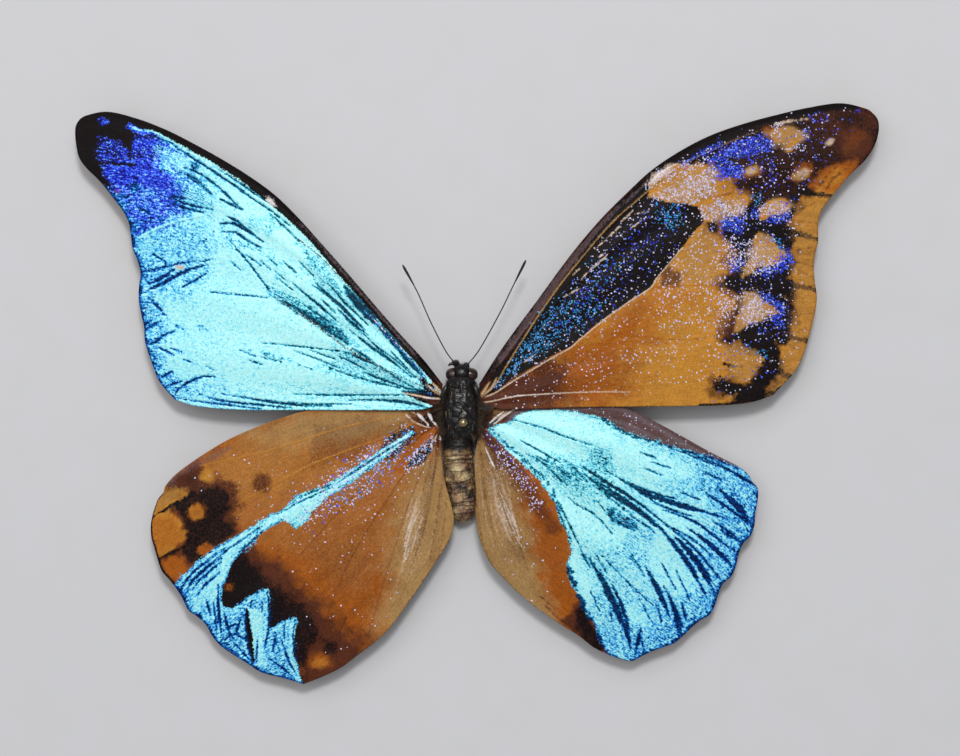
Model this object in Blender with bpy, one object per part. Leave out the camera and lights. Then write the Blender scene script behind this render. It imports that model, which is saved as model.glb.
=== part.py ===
"""A spread and pinned butterfly: body, four wings, six legs, feelers and the pin through it.

Everything is in metres, with +Z up. The origin is the middle of the pin's foot, on the surface that
the specimen rests on. +Y runs towards the head, and +X runs to the right, seen from above.
"""

import math
from collections import namedtuple

import bmesh
import bpy
import numpy as np
from mathutils import Matrix, Vector

MM = 0.001
GAP = 0.3  # between neighbouring pieces, in millimetres, as every length below
STEPS_BETWEEN = 12  # of a smooth curve, between two of its given points

# Pin
PIN_SHANK_RADIUS = 0.28
PIN_HEAD_RADIUS = 0.74
PIN_HEAD_HEIGHT = 11.4
PIN_SIDES = 12
PIN_HEAD_ROWS = 9

# Thorax: its axis runs back along Y, and each pair is a place on it and its half width there
BODY_X = -0.5
THORAX_Z = 5.8
THORAX_PROFILE = [(7.0, 1.25), (6.5, 1.95), (5.0, 2.75), (3.0, 3.3), (1.0, 3.45), (-1.0, 3.1), (-2.6, 2.4)]
THORAX_RINGS = 13
THORAX_SIDES = 16
GROOVE_DEPTH = 0.25
GROOVE_PLACE = 0.45  # of the half width, from the middle of the back
GROOVE_WIDTH = 0.15

# Head: its middle, its half width, half length and half height, and the eyes on its sides
HEAD_MIDDLE = (-0.4, 8.75, 5.6)
HEAD_SIZE = (2.0, 1.45, 1.75)
HEAD_FLAT = 1.25  # from the head's middle to the flat side under each eye
EYE_HEIGHT = 1.15
EYE_RADIUS = 1.12
EYE_DROP = 0.1
EYE_BACK = 0.3
EYE_ROWS = 6
EYE_SIDES = 14

# Abdomen: x, y, z and half width at places from the waist to the tip
ABDOMEN_AXIS = [(-0.8, -3.25, 5.5, 2.3), (-1.0, -5.0, 5.3, 2.6), (-0.9, -8.0, 4.5, 2.5),
                (-0.55, -11.0, 3.6, 2.4), (-0.15, -13.6, 2.95, 2.45), (0.0, -15.9, 2.5, 1.9),
                (0.6, -17.3, 2.1, 0.5)]
ABDOMEN_FLATNESS = 0.95
ABDOMEN_RINGS = 27
ABDOMEN_SIDES = 14
SEGMENT_COUNT = 8
SEGMENT_BULGE = 0.07

# Wings
WING_THICKNESS = 0.25
WING_ROWS = 15  # from the root to the outer margin
WING_COLUMNS = 23  # from the leading edge to the inner edge
ROOT_NARROWING = 0.45  # how much of the camber and pleats is left at the root

# Legs: the places of the hip, and of the knee, the ankle and the claw, on the right side
LEG_SIDES = 5
LEG_RINGS = 11
LEG_RADII = (0.42, 0.46, 0.3, 0.2, 0.16)
HIP_DROP = 0.85  # from the thorax's underside to the middle of a leg's end
Leg = namedtuple("Leg", "name hip knee ankle claw")
LEGS = (
    Leg("foreleg", (1.0, 6.1), (2.1, 8.3, 2.6), (1.5, 6.9, 1.5), (0.9, 5.5, 1.1)),
    Leg("midleg", (1.5, 3.9), (4.1, 6.2, 3.3), (5.6, 7.2, 0.6), (6.7, 9.0, 0.12)),
    Leg("hindleg", (1.6, 0.7), (4.4, -1.0, 3.5), (5.4, -2.6, 0.6), (6.0, -5.2, 0.12)),
)

# Feelers: the places along each, and their thickness
FEELER_RADIUS = 0.13
CLUB_RADIUS = 0.26
CLUB_SHARE = 0.2  # of the feeler's length
CLUB_ROUNDING = 0.62  # of half a turn, so the club is thickest before its end
FEELER_RINGS = 18
FEELER_SIDES = 6
FEELER_LEFT = [(-1.4, 10.2, 6.5), (-3.0, 12.2, 7.0), (-5.6, 17.2, 7.7), (-8.0, 22.6, 8.1),
               (-10.4, 27.0, 8.2)]
FEELER_RIGHT = [(0.8, 10.1, 6.5), (2.9, 12.8, 7.0), (6.4, 19.1, 7.7), (8.7, 23.8, 8.1),
                (10.7, 27.8, 8.2)]

# Palps and the coiled tongue between them
PALP_LEFT = [(-1.0, 9.0, 3.3), (-1.3, 10.5, 3.9), (-1.4, 11.2, 5.1), (-1.3, 10.9, 6.2)]
PALP_RIGHT = [(0.2, 9.0, 3.3), (0.5, 10.4, 3.9), (0.7, 10.8, 5.0), (0.7, 10.5, 6.0)]
PALP_RADII = (0.3, 0.42, 0.38, 0.12)
PALP_RINGS = 9
PALP_SIDES = 7
TONGUE_MIDDLE = (-0.4, 8.7, 2.35)
TONGUE_RADII = (0.25, 1.0)
TONGUE_TURNS = 1.6
TONGUE_THICKNESS = 0.12
TONGUE_RINGS = 27
TONGUE_SIDES = 5

WING_FIELDS = "name slot leading outer inner root_z tip_z camber pleats pleat_height inner_drop"
Wing = namedtuple("Wing", WING_FIELDS)

# The wings' outlines, from above. Each leading edge and inner edge runs from the root outwards, and
# each outer margin from the end of the leading edge to the end of the inner edge.
FOREWING_LEFT = Wing(
    name="forewing_left", slot="blue_scales",
    leading=[(-3.6, 6.6), (-5.8, 9.6), (-9.3, 13.4), (-14.5, 19.3), (-19.7, 25.4), (-25.0, 31.4),
             (-30.2, 37.1), (-33.7, 40.2), (-38.9, 43.8), (-45.8, 47.8), (-52.8, 51.3), (-58.0, 53.1),
             (-63.2, 54.1), (-65.9, 54.0), (-67.3, 52.9)],
    outer=[(-67.3, 52.9), (-67.6, 50.3), (-67.1, 46.6), (-65.9, 44.5), (-63.2, 41.8), (-60.6, 38.5),
           (-58.7, 35.8), (-58.0, 33.4), (-57.7, 30.6), (-56.6, 27.7), (-56.2, 25.4), (-56.6, 22.3),
           (-56.1, 18.8), (-55.5, 16.0), (-55.4, 13.6), (-54.5, 11.1), (-53.3, 7.7), (-51.8, 5.6),
           (-50.2, 3.9)],
    inner=[(-3.8, 3.4), (-6.7, 2.3), (-11.0, 2.1), (-28.4, 2.1), (-37.1, 2.1), (-43.2, 2.4),
           (-47.6, 3.0), (-50.2, 3.9)],
    root_z=7.2, tip_z=5.6, camber=0.9, pleats=5, pleat_height=0.12, inner_drop=0.0)
FOREWING_RIGHT = Wing(
    name="forewing_right", slot="brown_scales",
    leading=[(2.7, 6.6), (4.6, 9.7), (8.1, 14.8), (13.3, 21.8), (18.5, 28.9), (23.8, 35.2),
             (29.0, 40.4), (32.5, 43.6), (37.7, 47.1), (44.6, 50.5), (51.6, 52.6), (58.6, 54.4),
             (65.5, 55.4), (69.3, 55.2), (71.6, 54.1)],
    outer=[(71.6, 54.1), (72.3, 51.7), (71.8, 48.7), (70.0, 45.7), (67.3, 43.1), (64.6, 39.9),
           (62.4, 37.0), (61.7, 34.5), (61.8, 31.8), (61.1, 28.8), (61.0, 25.6), (61.5, 21.8),
           (61.2, 19.1), (60.3, 15.5), (59.5, 12.7), (58.0, 9.2), (56.3, 7.3), (53.9, 4.7)],
    inner=[(2.9, 3.4), (6.4, 2.3), (11.6, 2.3), (20.3, 2.6), (39.4, 2.8), (46.4, 3.0), (50.7, 3.6),
           (53.9, 4.7)],
    root_z=7.2, tip_z=5.6, camber=0.9, pleats=5, pleat_height=0.12, inner_drop=0.0)
HINDWING_LEFT = Wing(
    name="hindwing_left", slot="brown_scales",
    leading=[(-4.3, 1.2), (-6.7, 2.8), (-11.9, 3.7), (-18.0, 3.5), (-23.2, 2.5), (-28.4, 1.7),
             (-34.5, -0.3), (-40.6, -2.9), (-45.8, -6.0), (-50.2, -9.2), (-52.8, -12.2)],
    outer=[(-52.8, -12.2), (-54.2, -16.2), (-54.5, -19.5), (-53.5, -23.1), (-52.7, -25.8),
           (-50.5, -28.4), (-48.8, -31.1), (-47.8, -33.0), (-45.3, -34.8), (-43.4, -37.9),
           (-41.3, -39.8), (-37.8, -42.0), (-35.1, -43.7), (-31.2, -44.7), (-27.9, -45.7)],
    inner=[(-4.2, -2.6), (-4.0, -7.0), (-3.35, -11.5), (-2.5, -16.0), (-3.0, -20.5), (-5.8, -25.4),
           (-9.3, -30.6), (-13.5, -36.4), (-18.0, -40.2), (-22.2, -43.3), (-27.9, -45.7)],
    root_z=6.25, tip_z=4.9, camber=0.9, pleats=5, pleat_height=0.15, inner_drop=1.1)
HINDWING_RIGHT = Wing(
    name="hindwing_right", slot="blue_scales",
    leading=[(3.5, 1.2), (6.4, 3.0), (11.6, 3.8), (17.7, 3.7), (23.8, 3.0), (28.1, 2.4), (32.5, 0.5),
             (37.7, -2.3), (42.9, -5.2), (48.1, -7.9), (50.7, -10.1)],
    outer=[(50.7, -10.1), (51.4, -12.5), (50.8, -16.2), (50.5, -19.1), (48.8, -21.1), (47.8, -23.5),
           (47.1, -26.3), (45.0, -28.5), (44.1, -31.1), (43.1, -33.4), (40.6, -35.0), (38.5, -37.1),
           (36.6, -38.6), (33.5, -39.7), (30.9, -40.9), (29.1, -41.7), (25.5, -40.7)],
    inner=[(2.9, -2.6), (2.15, -7.0), (2.5, -12.0), (2.6, -17.5), (4.3, -23.5), (8.1, -28.0),
           (11.6, -31.3), (16.3, -34.8), (19.6, -36.9), (22.7, -39.3), (25.5, -40.7)],
    root_z=6.25, tip_z=4.9, camber=0.9, pleats=5, pleat_height=0.15, inner_drop=1.1)
WINGS = (FOREWING_LEFT, FOREWING_RIGHT, HINDWING_LEFT, HINDWING_RIGHT)

# Finishes: colour, roughness and metallic value
FINISHES = {
    "blue_scales": ((0.12, 0.62, 0.78), 0.35, 0.5),
    "brown_scales": ((0.38, 0.18, 0.05), 0.6, 0.0),
    "dark_cuticle": ((0.03, 0.022, 0.018), 0.4, 0.0),
    "brown_cuticle": ((0.24, 0.16, 0.08), 0.6, 0.0),
    "eye": ((0.02, 0.012, 0.01), 0.2, 0.0),
    "brass": ((0.75, 0.55, 0.25), 0.25, 1.0),
}


def clear_scene():
    """Removes every object of the open scene."""
    for thing in list(bpy.data.objects):
        bpy.data.objects.remove(thing, do_unlink=True)


def make_finishes():
    """Makes one material for each finish."""
    for name, (colour, roughness, metallic) in FINISHES.items():
        material = bpy.data.materials.new(name)
        material.use_nodes = True
        shader = material.node_tree.nodes["Principled BSDF"]
        shader.inputs["Base Color"].default_value = (*colour, 1.0)
        shader.inputs["Roughness"].default_value = roughness
        shader.inputs["Metallic"].default_value = metallic


def add_piece(name, slot, shape):
    """Turns a bmesh in millimetres into a smooth, closed object with its finish."""
    bmesh.ops.remove_doubles(shape, verts=shape.verts, dist=1e-4)
    bmesh.ops.recalc_face_normals(shape, faces=shape.faces)
    bmesh.ops.scale(shape, vec=(MM, MM, MM), verts=shape.verts)
    mesh = bpy.data.meshes.new(name)
    shape.to_mesh(mesh)
    shape.free()
    mesh.shade_smooth()
    mesh.set_sharp_from_angle(angle=math.radians(50))
    mesh.materials.append(bpy.data.materials[slot])
    piece = bpy.data.objects.new(name, mesh)
    bpy.context.collection.objects.link(piece)
    return piece


def smooth_curve(points, count):
    """Reads count points, evenly spaced, from a smooth curve through the given points."""
    known = np.array(points, float)
    ends = np.vstack([2 * known[0] - known[1], known, 2 * known[-1] - known[-2]])
    dense = [known[0]]
    for a, b, c, d in zip(ends, ends[1:], ends[2:], ends[3:]):
        for step in range(1, STEPS_BETWEEN + 1):
            t = step / STEPS_BETWEEN
            dense.append(0.5 * (2 * b + (c - a) * t + (2 * a - 5 * b + 4 * c - d) * t**2
                                + (3 * b - a - 3 * c + d) * t**3))
    dense = np.array(dense)
    lengths = np.concatenate([[0], np.cumsum(np.linalg.norm(np.diff(dense, axis=0), axis=1))])
    wanted = np.linspace(0, lengths[-1], count)
    return np.column_stack([np.interp(wanted, lengths, column) for column in dense.T])


def spread_evenly(values, count):
    """Reads count values at even steps along a list of values."""
    return np.interp(np.linspace(0, 1, count), np.linspace(0, 1, len(values)), values)


def close_grid(shape, rings, loop):
    """Joins rows of vertices with faces, each row closed on itself when loop is true."""
    for near, far in zip(rings, rings[1:]):
        count = len(near)
        for i in range(count if loop else count - 1):
            j = (i + 1) % count
            shape.faces.new((near[i], near[j], far[j], far[i]))


def swept_shape(path, radii, sides, flatness=1.0):
    """A tube of changing radius along a path, with a cap at each end."""
    shape = bmesh.new()
    rings = []
    side = Vector((1, 0, 0))
    points = [Vector(point) for point in path]
    for i, (point, radius) in enumerate(zip(points, radii)):
        ahead = points[min(i + 1, len(points) - 1)] - points[max(i - 1, 0)]
        ahead.normalize()
        side = (side - ahead * side.dot(ahead)).normalized()
        up = ahead.cross(side)
        ring = []
        for step in range(sides):
            turn = 2 * math.pi * step / sides
            offset = side * math.cos(turn) + up * math.sin(turn) * flatness
            ring.append(shape.verts.new(point + offset * radius))
        rings.append(ring)
    close_grid(shape, rings, loop=True)
    for ring in (rings[0], rings[-1]):
        shape.faces.new(ring)
    return shape


def ellipsoid(middle, size, rows, sides):
    """An ellipsoid about its middle, with its poles along Y."""
    shape = bmesh.new()
    bmesh.ops.create_uvsphere(shape, u_segments=sides, v_segments=rows, radius=1.0)
    turn = Matrix.Rotation(math.radians(90), 4, "X")
    place = Matrix.Translation(middle) @ Matrix.Diagonal((*size, 1.0)) @ turn
    bmesh.ops.transform(shape, matrix=place, verts=shape.verts)
    return shape


def thorax_radius(y):
    """Half width of the thorax at a place along its axis."""
    places, radii = zip(*THORAX_PROFILE[::-1])
    return float(np.interp(y, places, radii))


def thorax_underside(x, y):
    """Height of the thorax's lower face above a place."""
    return THORAX_Z - math.sqrt(thorax_radius(y) ** 2 - (x - BODY_X) ** 2)


def build_thorax():
    """The thorax, with a shallow groove along each side of its back and a hole for the pin."""
    profile = smooth_curve(THORAX_PROFILE, THORAX_RINGS)
    path = [(BODY_X, y, THORAX_Z) for y in profile[:, 0]]
    shape = swept_shape(path, profile[:, 1], THORAX_SIDES)
    for vert in shape.verts:
        across = abs(vert.co.x - BODY_X) / thorax_radius(vert.co.y)
        if vert.co.z > THORAX_Z and -2.0 < vert.co.y < 6.0:
            vert.co.z -= GROOVE_DEPTH * math.exp(-((across - GROOVE_PLACE) / GROOVE_WIDTH) ** 2)
    thorax = add_piece("thorax", "dark_cuticle", shape)

    hole = bmesh.new()
    bmesh.ops.create_cone(hole, cap_ends=True, segments=PIN_SIDES, radius1=PIN_SHANK_RADIUS + GAP,
                          radius2=PIN_SHANK_RADIUS + GAP, depth=4 * THORAX_Z)
    cutter = add_piece("pin_hole_cutter", "dark_cuticle", hole)
    cutter.hide_render = True
    cutter.display_type = "WIRE"
    cut = thorax.modifiers.new("pin_hole", "BOOLEAN")
    cut.object = cutter
    cut.solver = "EXACT"
    cut.operation = "DIFFERENCE"


def build_head():
    """The head, flat under each eye, and the two domed eyes."""
    shape = ellipsoid(HEAD_MIDDLE, HEAD_SIZE, rows=10, sides=16)
    for vert in shape.verts:
        offset = vert.co.x - HEAD_MIDDLE[0]
        vert.co.x = HEAD_MIDDLE[0] + max(-HEAD_FLAT, min(HEAD_FLAT, offset))
    add_piece("head", "dark_cuticle", shape)
    for name, side in (("eye_left", -1), ("eye_right", 1)):
        dome = bmesh.new()
        rings = []
        for row in range(EYE_ROWS):
            lift = math.radians(90 * row / EYE_ROWS)
            x = HEAD_MIDDLE[0] + side * (HEAD_FLAT + GAP + EYE_HEIGHT * math.sin(lift))
            radius = EYE_RADIUS * math.cos(lift)
            ring = []
            for step in range(EYE_SIDES):
                turn = 2 * math.pi * step / EYE_SIDES
                y = HEAD_MIDDLE[1] - EYE_BACK + radius * math.cos(turn)
                z = HEAD_MIDDLE[2] - EYE_DROP + radius * math.sin(turn)
                ring.append(dome.verts.new((x, y, z)))
            rings.append(ring)
        close_grid(dome, rings, loop=True)
        for ring in (rings[0], rings[-1]):
            dome.faces.new(ring)
        add_piece(name, "eye", dome)


def build_abdomen():
    """The abdomen, made of rings that bulge a little, thinning to its tip."""
    profile = smooth_curve(ABDOMEN_AXIS, ABDOMEN_RINGS)
    radii = []
    for i, width in enumerate(profile[:, 3]):
        phase = SEGMENT_COUNT * i / (ABDOMEN_RINGS - 1)
        radii.append(width * (1 - SEGMENT_BULGE + SEGMENT_BULGE * abs(math.sin(math.pi * phase))))
    shape = swept_shape(profile[:, :3], radii, ABDOMEN_SIDES, flatness=ABDOMEN_FLATNESS)
    for vert in shape.verts:
        vert.co.z = max(vert.co.z, 0.0)
    add_piece("abdomen", "brown_cuticle", shape)


def wing_height(wing, u, v):
    """Height of a wing's middle plane, u from the root outwards and v from the leading edge back."""
    fall = (wing.tip_z - wing.root_z) * u**1.6
    camber = wing.camber * math.sin(math.pi * u) ** 0.8 * math.sin(math.pi * (0.15 + 0.6 * (1 - v)))
    pleat = wing.pleat_height * math.cos(2 * math.pi * wing.pleats * v) * (1 - 0.6 * u)
    spread = ROOT_NARROWING + (1 - ROOT_NARROWING) * min(1.0, 3 * u)
    drop = wing.inner_drop * v**4 * min(1.0, 3 * u) * (1.2 - u)
    return wing.root_z + fall + spread * (camber + pleat) - drop


def wing_grid(wing):
    """Points over the wing, blended between its four edges."""
    leading = smooth_curve(wing.leading, WING_ROWS + 1)
    inner = smooth_curve(wing.inner, WING_ROWS + 1)
    outer = smooth_curve(wing.outer, WING_COLUMNS + 1)
    root = np.linspace(leading[0], inner[0], WING_COLUMNS + 1)
    rows = []
    for i in range(WING_ROWS + 1):
        u = i / WING_ROWS
        row = []
        for j in range(WING_COLUMNS + 1):
            v = j / WING_COLUMNS
            along = (1 - v) * leading[i] + v * inner[i]
            across = (1 - u) * root[j] + u * outer[j]
            corners = ((1 - u) * ((1 - v) * leading[0] + v * inner[0])
                       + u * ((1 - v) * leading[-1] + v * inner[-1]))
            x, y = along + across - corners
            row.append((x, y, wing_height(wing, u, v)))
        rows.append(row)
    return rows


def build_wing(wing):
    """A wing: one thin, cambered and lightly pleated plate."""
    shape = bmesh.new()
    faces = []
    for half in (0.5, -0.5):
        lift = half * WING_THICKNESS
        faces.append([[shape.verts.new((x, y, z + lift)) for x, y, z in row] for row in wing_grid(wing)])
    for rows in faces:
        close_grid(shape, rows, loop=False)
    rims = []
    for rows in faces:
        ahead = [row[0] for row in rows]
        back = [row[-1] for row in rows]
        rims.append(ahead + rows[-1][1:-1] + back[::-1] + rows[0][1:-1][::-1])
    close_grid(shape, rims, loop=True)
    add_piece(wing.name, wing.slot, shape)


def build_leg(leg, side, name):
    """A leg: hip, thick thigh, thin shin and a foot laid flat on the surface."""
    x, y = leg.hip
    hip = (x, y, thorax_underside(BODY_X + side * x, y) - HIP_DROP)
    joints = [(BODY_X + side * x, y, z) for x, y, z in (hip, leg.knee, leg.ankle, leg.claw)]
    path = smooth_curve(joints, LEG_RINGS)
    radii = spread_evenly(LEG_RADII, LEG_RINGS)
    shape = swept_shape(path, radii, LEG_SIDES)
    for vert in shape.verts:
        vert.co.z = max(vert.co.z, 0.0)
    add_piece(name, "dark_cuticle", shape)


def build_feeler(name, points):
    """A thin feeler that thickens to a club at its end."""
    path = smooth_curve(points, FEELER_RINGS)
    radii = []
    for i in range(FEELER_RINGS):
        share = i / (FEELER_RINGS - 1)
        club = max(0.0, (share - 1 + CLUB_SHARE) / CLUB_SHARE)
        swell = math.sin(CLUB_ROUNDING * math.pi * club)
        radii.append(FEELER_RADIUS + (CLUB_RADIUS - FEELER_RADIUS) * swell)
    add_piece(name, "dark_cuticle", swept_shape(path, radii, FEELER_SIDES))


def build_mouthparts():
    """The two palps in front of the face and the coiled tongue between them."""
    for name, points in (("palp_left", PALP_LEFT), ("palp_right", PALP_RIGHT)):
        path = smooth_curve(points, PALP_RINGS)
        shape = swept_shape(path, spread_evenly(PALP_RADII, PALP_RINGS), PALP_SIDES)
        add_piece(name, "dark_cuticle", shape)
    path = []
    for i in range(TONGUE_RINGS):
        share = i / (TONGUE_RINGS - 1)
        turn = 2 * math.pi * TONGUE_TURNS * share
        radius = TONGUE_RADII[1] + (TONGUE_RADII[0] - TONGUE_RADII[1]) * share
        path.append((TONGUE_MIDDLE[0], TONGUE_MIDDLE[1] - radius * math.sin(turn),
                     TONGUE_MIDDLE[2] + radius * math.cos(turn)))
    shape = swept_shape(path, [TONGUE_THICKNESS] * TONGUE_RINGS, TONGUE_SIDES)
    add_piece("tongue", "dark_cuticle", shape)


def build_pin():
    """The pin: a flat foot on the surface, a straight shank and a ball for a head."""
    sink = math.sqrt(PIN_HEAD_RADIUS**2 - PIN_SHANK_RADIUS**2)
    start = math.atan2(PIN_SHANK_RADIUS, -sink)
    profile = [(PIN_SHANK_RADIUS, 0.0)]
    for i in range(PIN_HEAD_ROWS):
        turn = start * (1 - i / PIN_HEAD_ROWS)
        height = PIN_HEAD_HEIGHT + PIN_HEAD_RADIUS * math.cos(turn)
        profile.append((PIN_HEAD_RADIUS * math.sin(turn), height))
    shape = bmesh.new()
    rings = []
    for radius, height in profile:
        ring = []
        for step in range(PIN_SIDES):
            turn = 2 * math.pi * step / PIN_SIDES
            ring.append(shape.verts.new((radius * math.cos(turn), radius * math.sin(turn), height)))
        rings.append(ring)
    close_grid(shape, rings, loop=True)
    for ring in (rings[0], rings[-1]):
        shape.faces.new(ring)
    add_piece("pin", "brass", shape)


def main():
    """Builds the specimen from its body outwards."""
    clear_scene()
    make_finishes()
    build_thorax()
    build_head()
    build_abdomen()
    build_mouthparts()
    build_feeler("antenna_left", FEELER_LEFT)
    build_feeler("antenna_right", FEELER_RIGHT)
    for leg in LEGS:
        build_leg(leg, -1, f"{leg.name}_left")
        build_leg(leg, 1, f"{leg.name}_right")
    for wing in WINGS:
        build_wing(wing)
    build_pin()


main()
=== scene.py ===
"""Dresses a spread and pinned butterfly: its wing scales, veins, fur, feelers, legs and pin."""

import logging
import math
from dataclasses import dataclass, field
from enum import Enum
from typing import Iterable, Sequence

import bmesh
import bpy
import numpy as np
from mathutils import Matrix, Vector
from mathutils.kdtree import KDTree


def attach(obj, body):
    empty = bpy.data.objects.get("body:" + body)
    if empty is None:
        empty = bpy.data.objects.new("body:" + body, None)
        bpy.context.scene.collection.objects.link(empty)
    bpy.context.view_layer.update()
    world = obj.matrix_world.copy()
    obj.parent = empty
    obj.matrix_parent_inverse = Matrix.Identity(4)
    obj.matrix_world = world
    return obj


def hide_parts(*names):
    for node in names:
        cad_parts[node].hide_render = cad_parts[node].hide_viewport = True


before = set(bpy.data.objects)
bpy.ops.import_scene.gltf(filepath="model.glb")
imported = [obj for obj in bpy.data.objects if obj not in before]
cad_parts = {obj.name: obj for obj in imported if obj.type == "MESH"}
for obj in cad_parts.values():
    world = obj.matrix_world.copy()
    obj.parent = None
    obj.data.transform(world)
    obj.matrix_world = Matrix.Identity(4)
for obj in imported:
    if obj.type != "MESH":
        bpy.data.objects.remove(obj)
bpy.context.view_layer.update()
LOG = logging.getLogger("butterfly")

MM = 0.001
PHOTO_PIN = (463.5, 422.0)  # the pixel of the pin, where the object's own axes cross
PIXEL = 0.174 * MM  # one photo pixel at the height of the wings
WING_PLANE = 6.0 * MM  # the wings' usual height
STROKES_ALONG = 16  # strokes of scales from a wing's root to its margin
STROKES_ACROSS = 150  # strokes of scales from its leading edge to its inner edge
SIDES = (("left", -1.0), ("right", 1.0))  # each side and the way that it lies

Point = tuple[float, float]
Path = Sequence[Point]
Colour = tuple[float, float, float]
Socket = bpy.types.NodeSocket


def srgb(red: int, green: int, blue: int) -> Colour:
    """Gives the linear colour of a screen colour.

    Args:
        red: The red value, 0 to 255.
        green: The green value, 0 to 255.
        blue: The blue value, 0 to 255.

    Returns:
        The three linear values, 0 to 1.
    """
    values = (red / 255, green / 255, blue / 255)
    return tuple(v / 12.92 if v <= 0.04045 else ((v + 0.055) / 1.055) ** 2.4 for v in values)


def smoothstep(low: float, high: float, value: np.ndarray) -> np.ndarray:
    """Rises smoothly from 0 at low to 1 at high.

    Args:
        low: Where the step starts.
        high: Where it ends, which may be below low.
        value: The values to read it at.

    Returns:
        The step's height at each value.
    """
    share = np.clip((value - low) / (high - low), 0, 1)
    return share * share * (3 - 2 * share)


def value_noise(x: np.ndarray, y: np.ndarray, seed: int) -> np.ndarray:
    """Smooth noise between 0 and 1, the same for the same seed.

    Args:
        x: First coordinates, one unit to a cell.
        y: Second coordinates.
        seed: Which noise.

    Returns:
        The noise at each point.
    """
    column, row = np.floor(x).astype(np.int64), np.floor(y).astype(np.int64)
    across, along = x - column, y - row
    across, along = across * across * (3 - 2 * across), along * along * (3 - 2 * along)

    def corner(i: int, j: int) -> np.ndarray:
        """The random value at one corner of each cell.

        Args:
            i: The corner's step along the first coordinate, 0 or 1.
            j: Its step along the second.

        Returns:
            The values, 0 to 1.
        """
        mixed = ((column + i) * 374761393 + (row + j) * 668265263 + seed * 982451653) & 0x7FFFFFFF
        mixed = ((mixed ^ (mixed >> 13)) * 1274126177) & 0x7FFFFFFF
        return ((mixed ^ (mixed >> 16)) & 0xFFFF) / 65535.0

    near = corner(0, 0) * (1 - across) + corner(1, 0) * across
    far = corner(0, 1) * (1 - across) + corner(1, 1) * across
    return near * (1 - along) + far * along


def grid(rows: int, columns: int) -> tuple[np.ndarray, np.ndarray]:
    """How far each point of a grid is from its first row to its last, and from its first column to its last."""
    u, v = np.meshgrid(np.linspace(0, 1, rows), np.linspace(0, 1, columns), indexing="ij")
    return u, v


def path_distance(x: np.ndarray, y: np.ndarray, path: Path) -> tuple[np.ndarray, np.ndarray]:
    """Distance from points to a path, and how far along it the nearest place is.

    Args:
        x: The points' first coordinates.
        y: Their second coordinates.
        path: The path's own points.

    Returns:
        The distances, and the shares of the path's length from 0 to 1.
    """
    corners = np.array(path, float)
    lengths = np.linalg.norm(np.diff(corners, axis=0), axis=1)
    starts = np.concatenate([[0], np.cumsum(lengths)])
    best = np.full(x.shape, np.inf)
    share = np.zeros(x.shape)
    for a, b, length, start in zip(corners, corners[1:], lengths, starts):
        t = np.clip(((x - a[0]) * (b[0] - a[0]) + (y - a[1]) * (b[1] - a[1])) / length**2, 0, 1)
        distance = np.hypot(x - a[0] - t * (b[0] - a[0]), y - a[1] - t * (b[1] - a[1]))
        nearer = distance < best
        best = np.where(nearer, distance, best)
        share = np.where(nearer, (start + t * length) / starts[-1], share)
    return best, share


def inside(x: np.ndarray, y: np.ndarray, outline: Path) -> np.ndarray:
    """Says which points lie inside a closed outline.

    Args:
        x: The points' first coordinates.
        y: Their second coordinates.
        outline: The outline's corners.

    Returns:
        True for each point inside.
    """
    found = np.zeros(x.shape, bool)
    for (ax, ay), (bx, by) in zip(outline, [*outline[1:], outline[0]]):
        crosses = (ay > y) != (by > y)
        with np.errstate(divide="ignore", invalid="ignore"):
            found ^= crosses & (x < (bx - ax) * (y - ay) / (by - ay) + ax)
    return found


class Pigment(Enum):
    """The kinds of wing scale, with one painted highlight among the plain ones: the plain ones in the order that the
    finish lays them, then the blue ones.
    """

    UMBER = "umber"
    RUST = "rust"
    OCHRE = "ochre"
    TAN = "tan"
    CREAM = "cream"
    MAUVE = "mauve"
    # pearl is painted highlight: a near-white for the sheen on glossy veins, folds and membranes
    PAINTED_HIGHLIGHT = "painted_highlight"
    SOOT = "soot"
    NAVY = "navy"
    AZURE = "azure"
    VIOLET = "violet"
    CYAN = "cyan"


P = Pigment
KINDS = list(Pigment)
# the near-white pearl tone among these is painted highlight
PLAIN = {P.UMBER: srgb(84, 42, 26), P.RUST: srgb(168, 90, 22), P.OCHRE: srgb(196, 134, 50),
         P.TAN: srgb(170, 133, 83), P.CREAM: srgb(222, 196, 172), P.MAUVE: srgb(108, 92, 96),
         P.PAINTED_HIGHLIGHT: srgb(248, 240, 236), P.SOOT: srgb(18, 10, 11)}
BRIGHTNESS = {P.NAVY: 0.06, P.AZURE: 0.46, P.VIOLET: 0.42, P.CYAN: 0.93}


class Glint(Enum):
    """The colours of the scattered single scales that flash."""

    WHITE = "white"
    ULTRAMARINE = "ultramarine"
    TEAL = "teal"


@dataclass(frozen=True)
class Patch:
    """A patch of scales of one kind. Its outline is in photo pixels."""

    pigment: Pigment
    outline: Path
    soft: float = 2.5
    strength: float = 1.0
    wander: float = 1.5
    inset: float = 0.0
    streaky: float = 0.0  # how much it breaks up into strokes along the veins


@dataclass(frozen=True)
class Streak:
    """A line of scales, and the fold or vein under it. Its path and width are in photo pixels."""

    pigment: Pigment
    path: Path
    width: float
    start_width: float = -1.0  # its width at its start, or the same as its width where below 0
    end_width: float = 0.6
    strength: float = 0.95
    lift: float = 0.0  # of the wing's surface along it, in millimetres
    waver: float = 0.0  # how far its edges wander, in photo pixels


@dataclass(frozen=True)
class Glints:
    """Scattered flashing scales. Their outline is in photo pixels."""

    glint: Glint
    outline: Path
    density: float
    soft: float = 8.0
    wander: float = 4.0
    inset: float = 0.0


Mark = Patch | Streak | Glints


def traced(text: str) -> Path:
    """Reads one outline or path that was traced.

    Args:
        text: Its points, each written as x,y in photo pixels, or the numbers of one oval, joined by commas.

    Returns:
        Its points.
    """
    points = tuple(tuple(map(float, point.split(","))) for point in text.split())
    return oval(*points[0]) if len(points) == 1 else points


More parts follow.
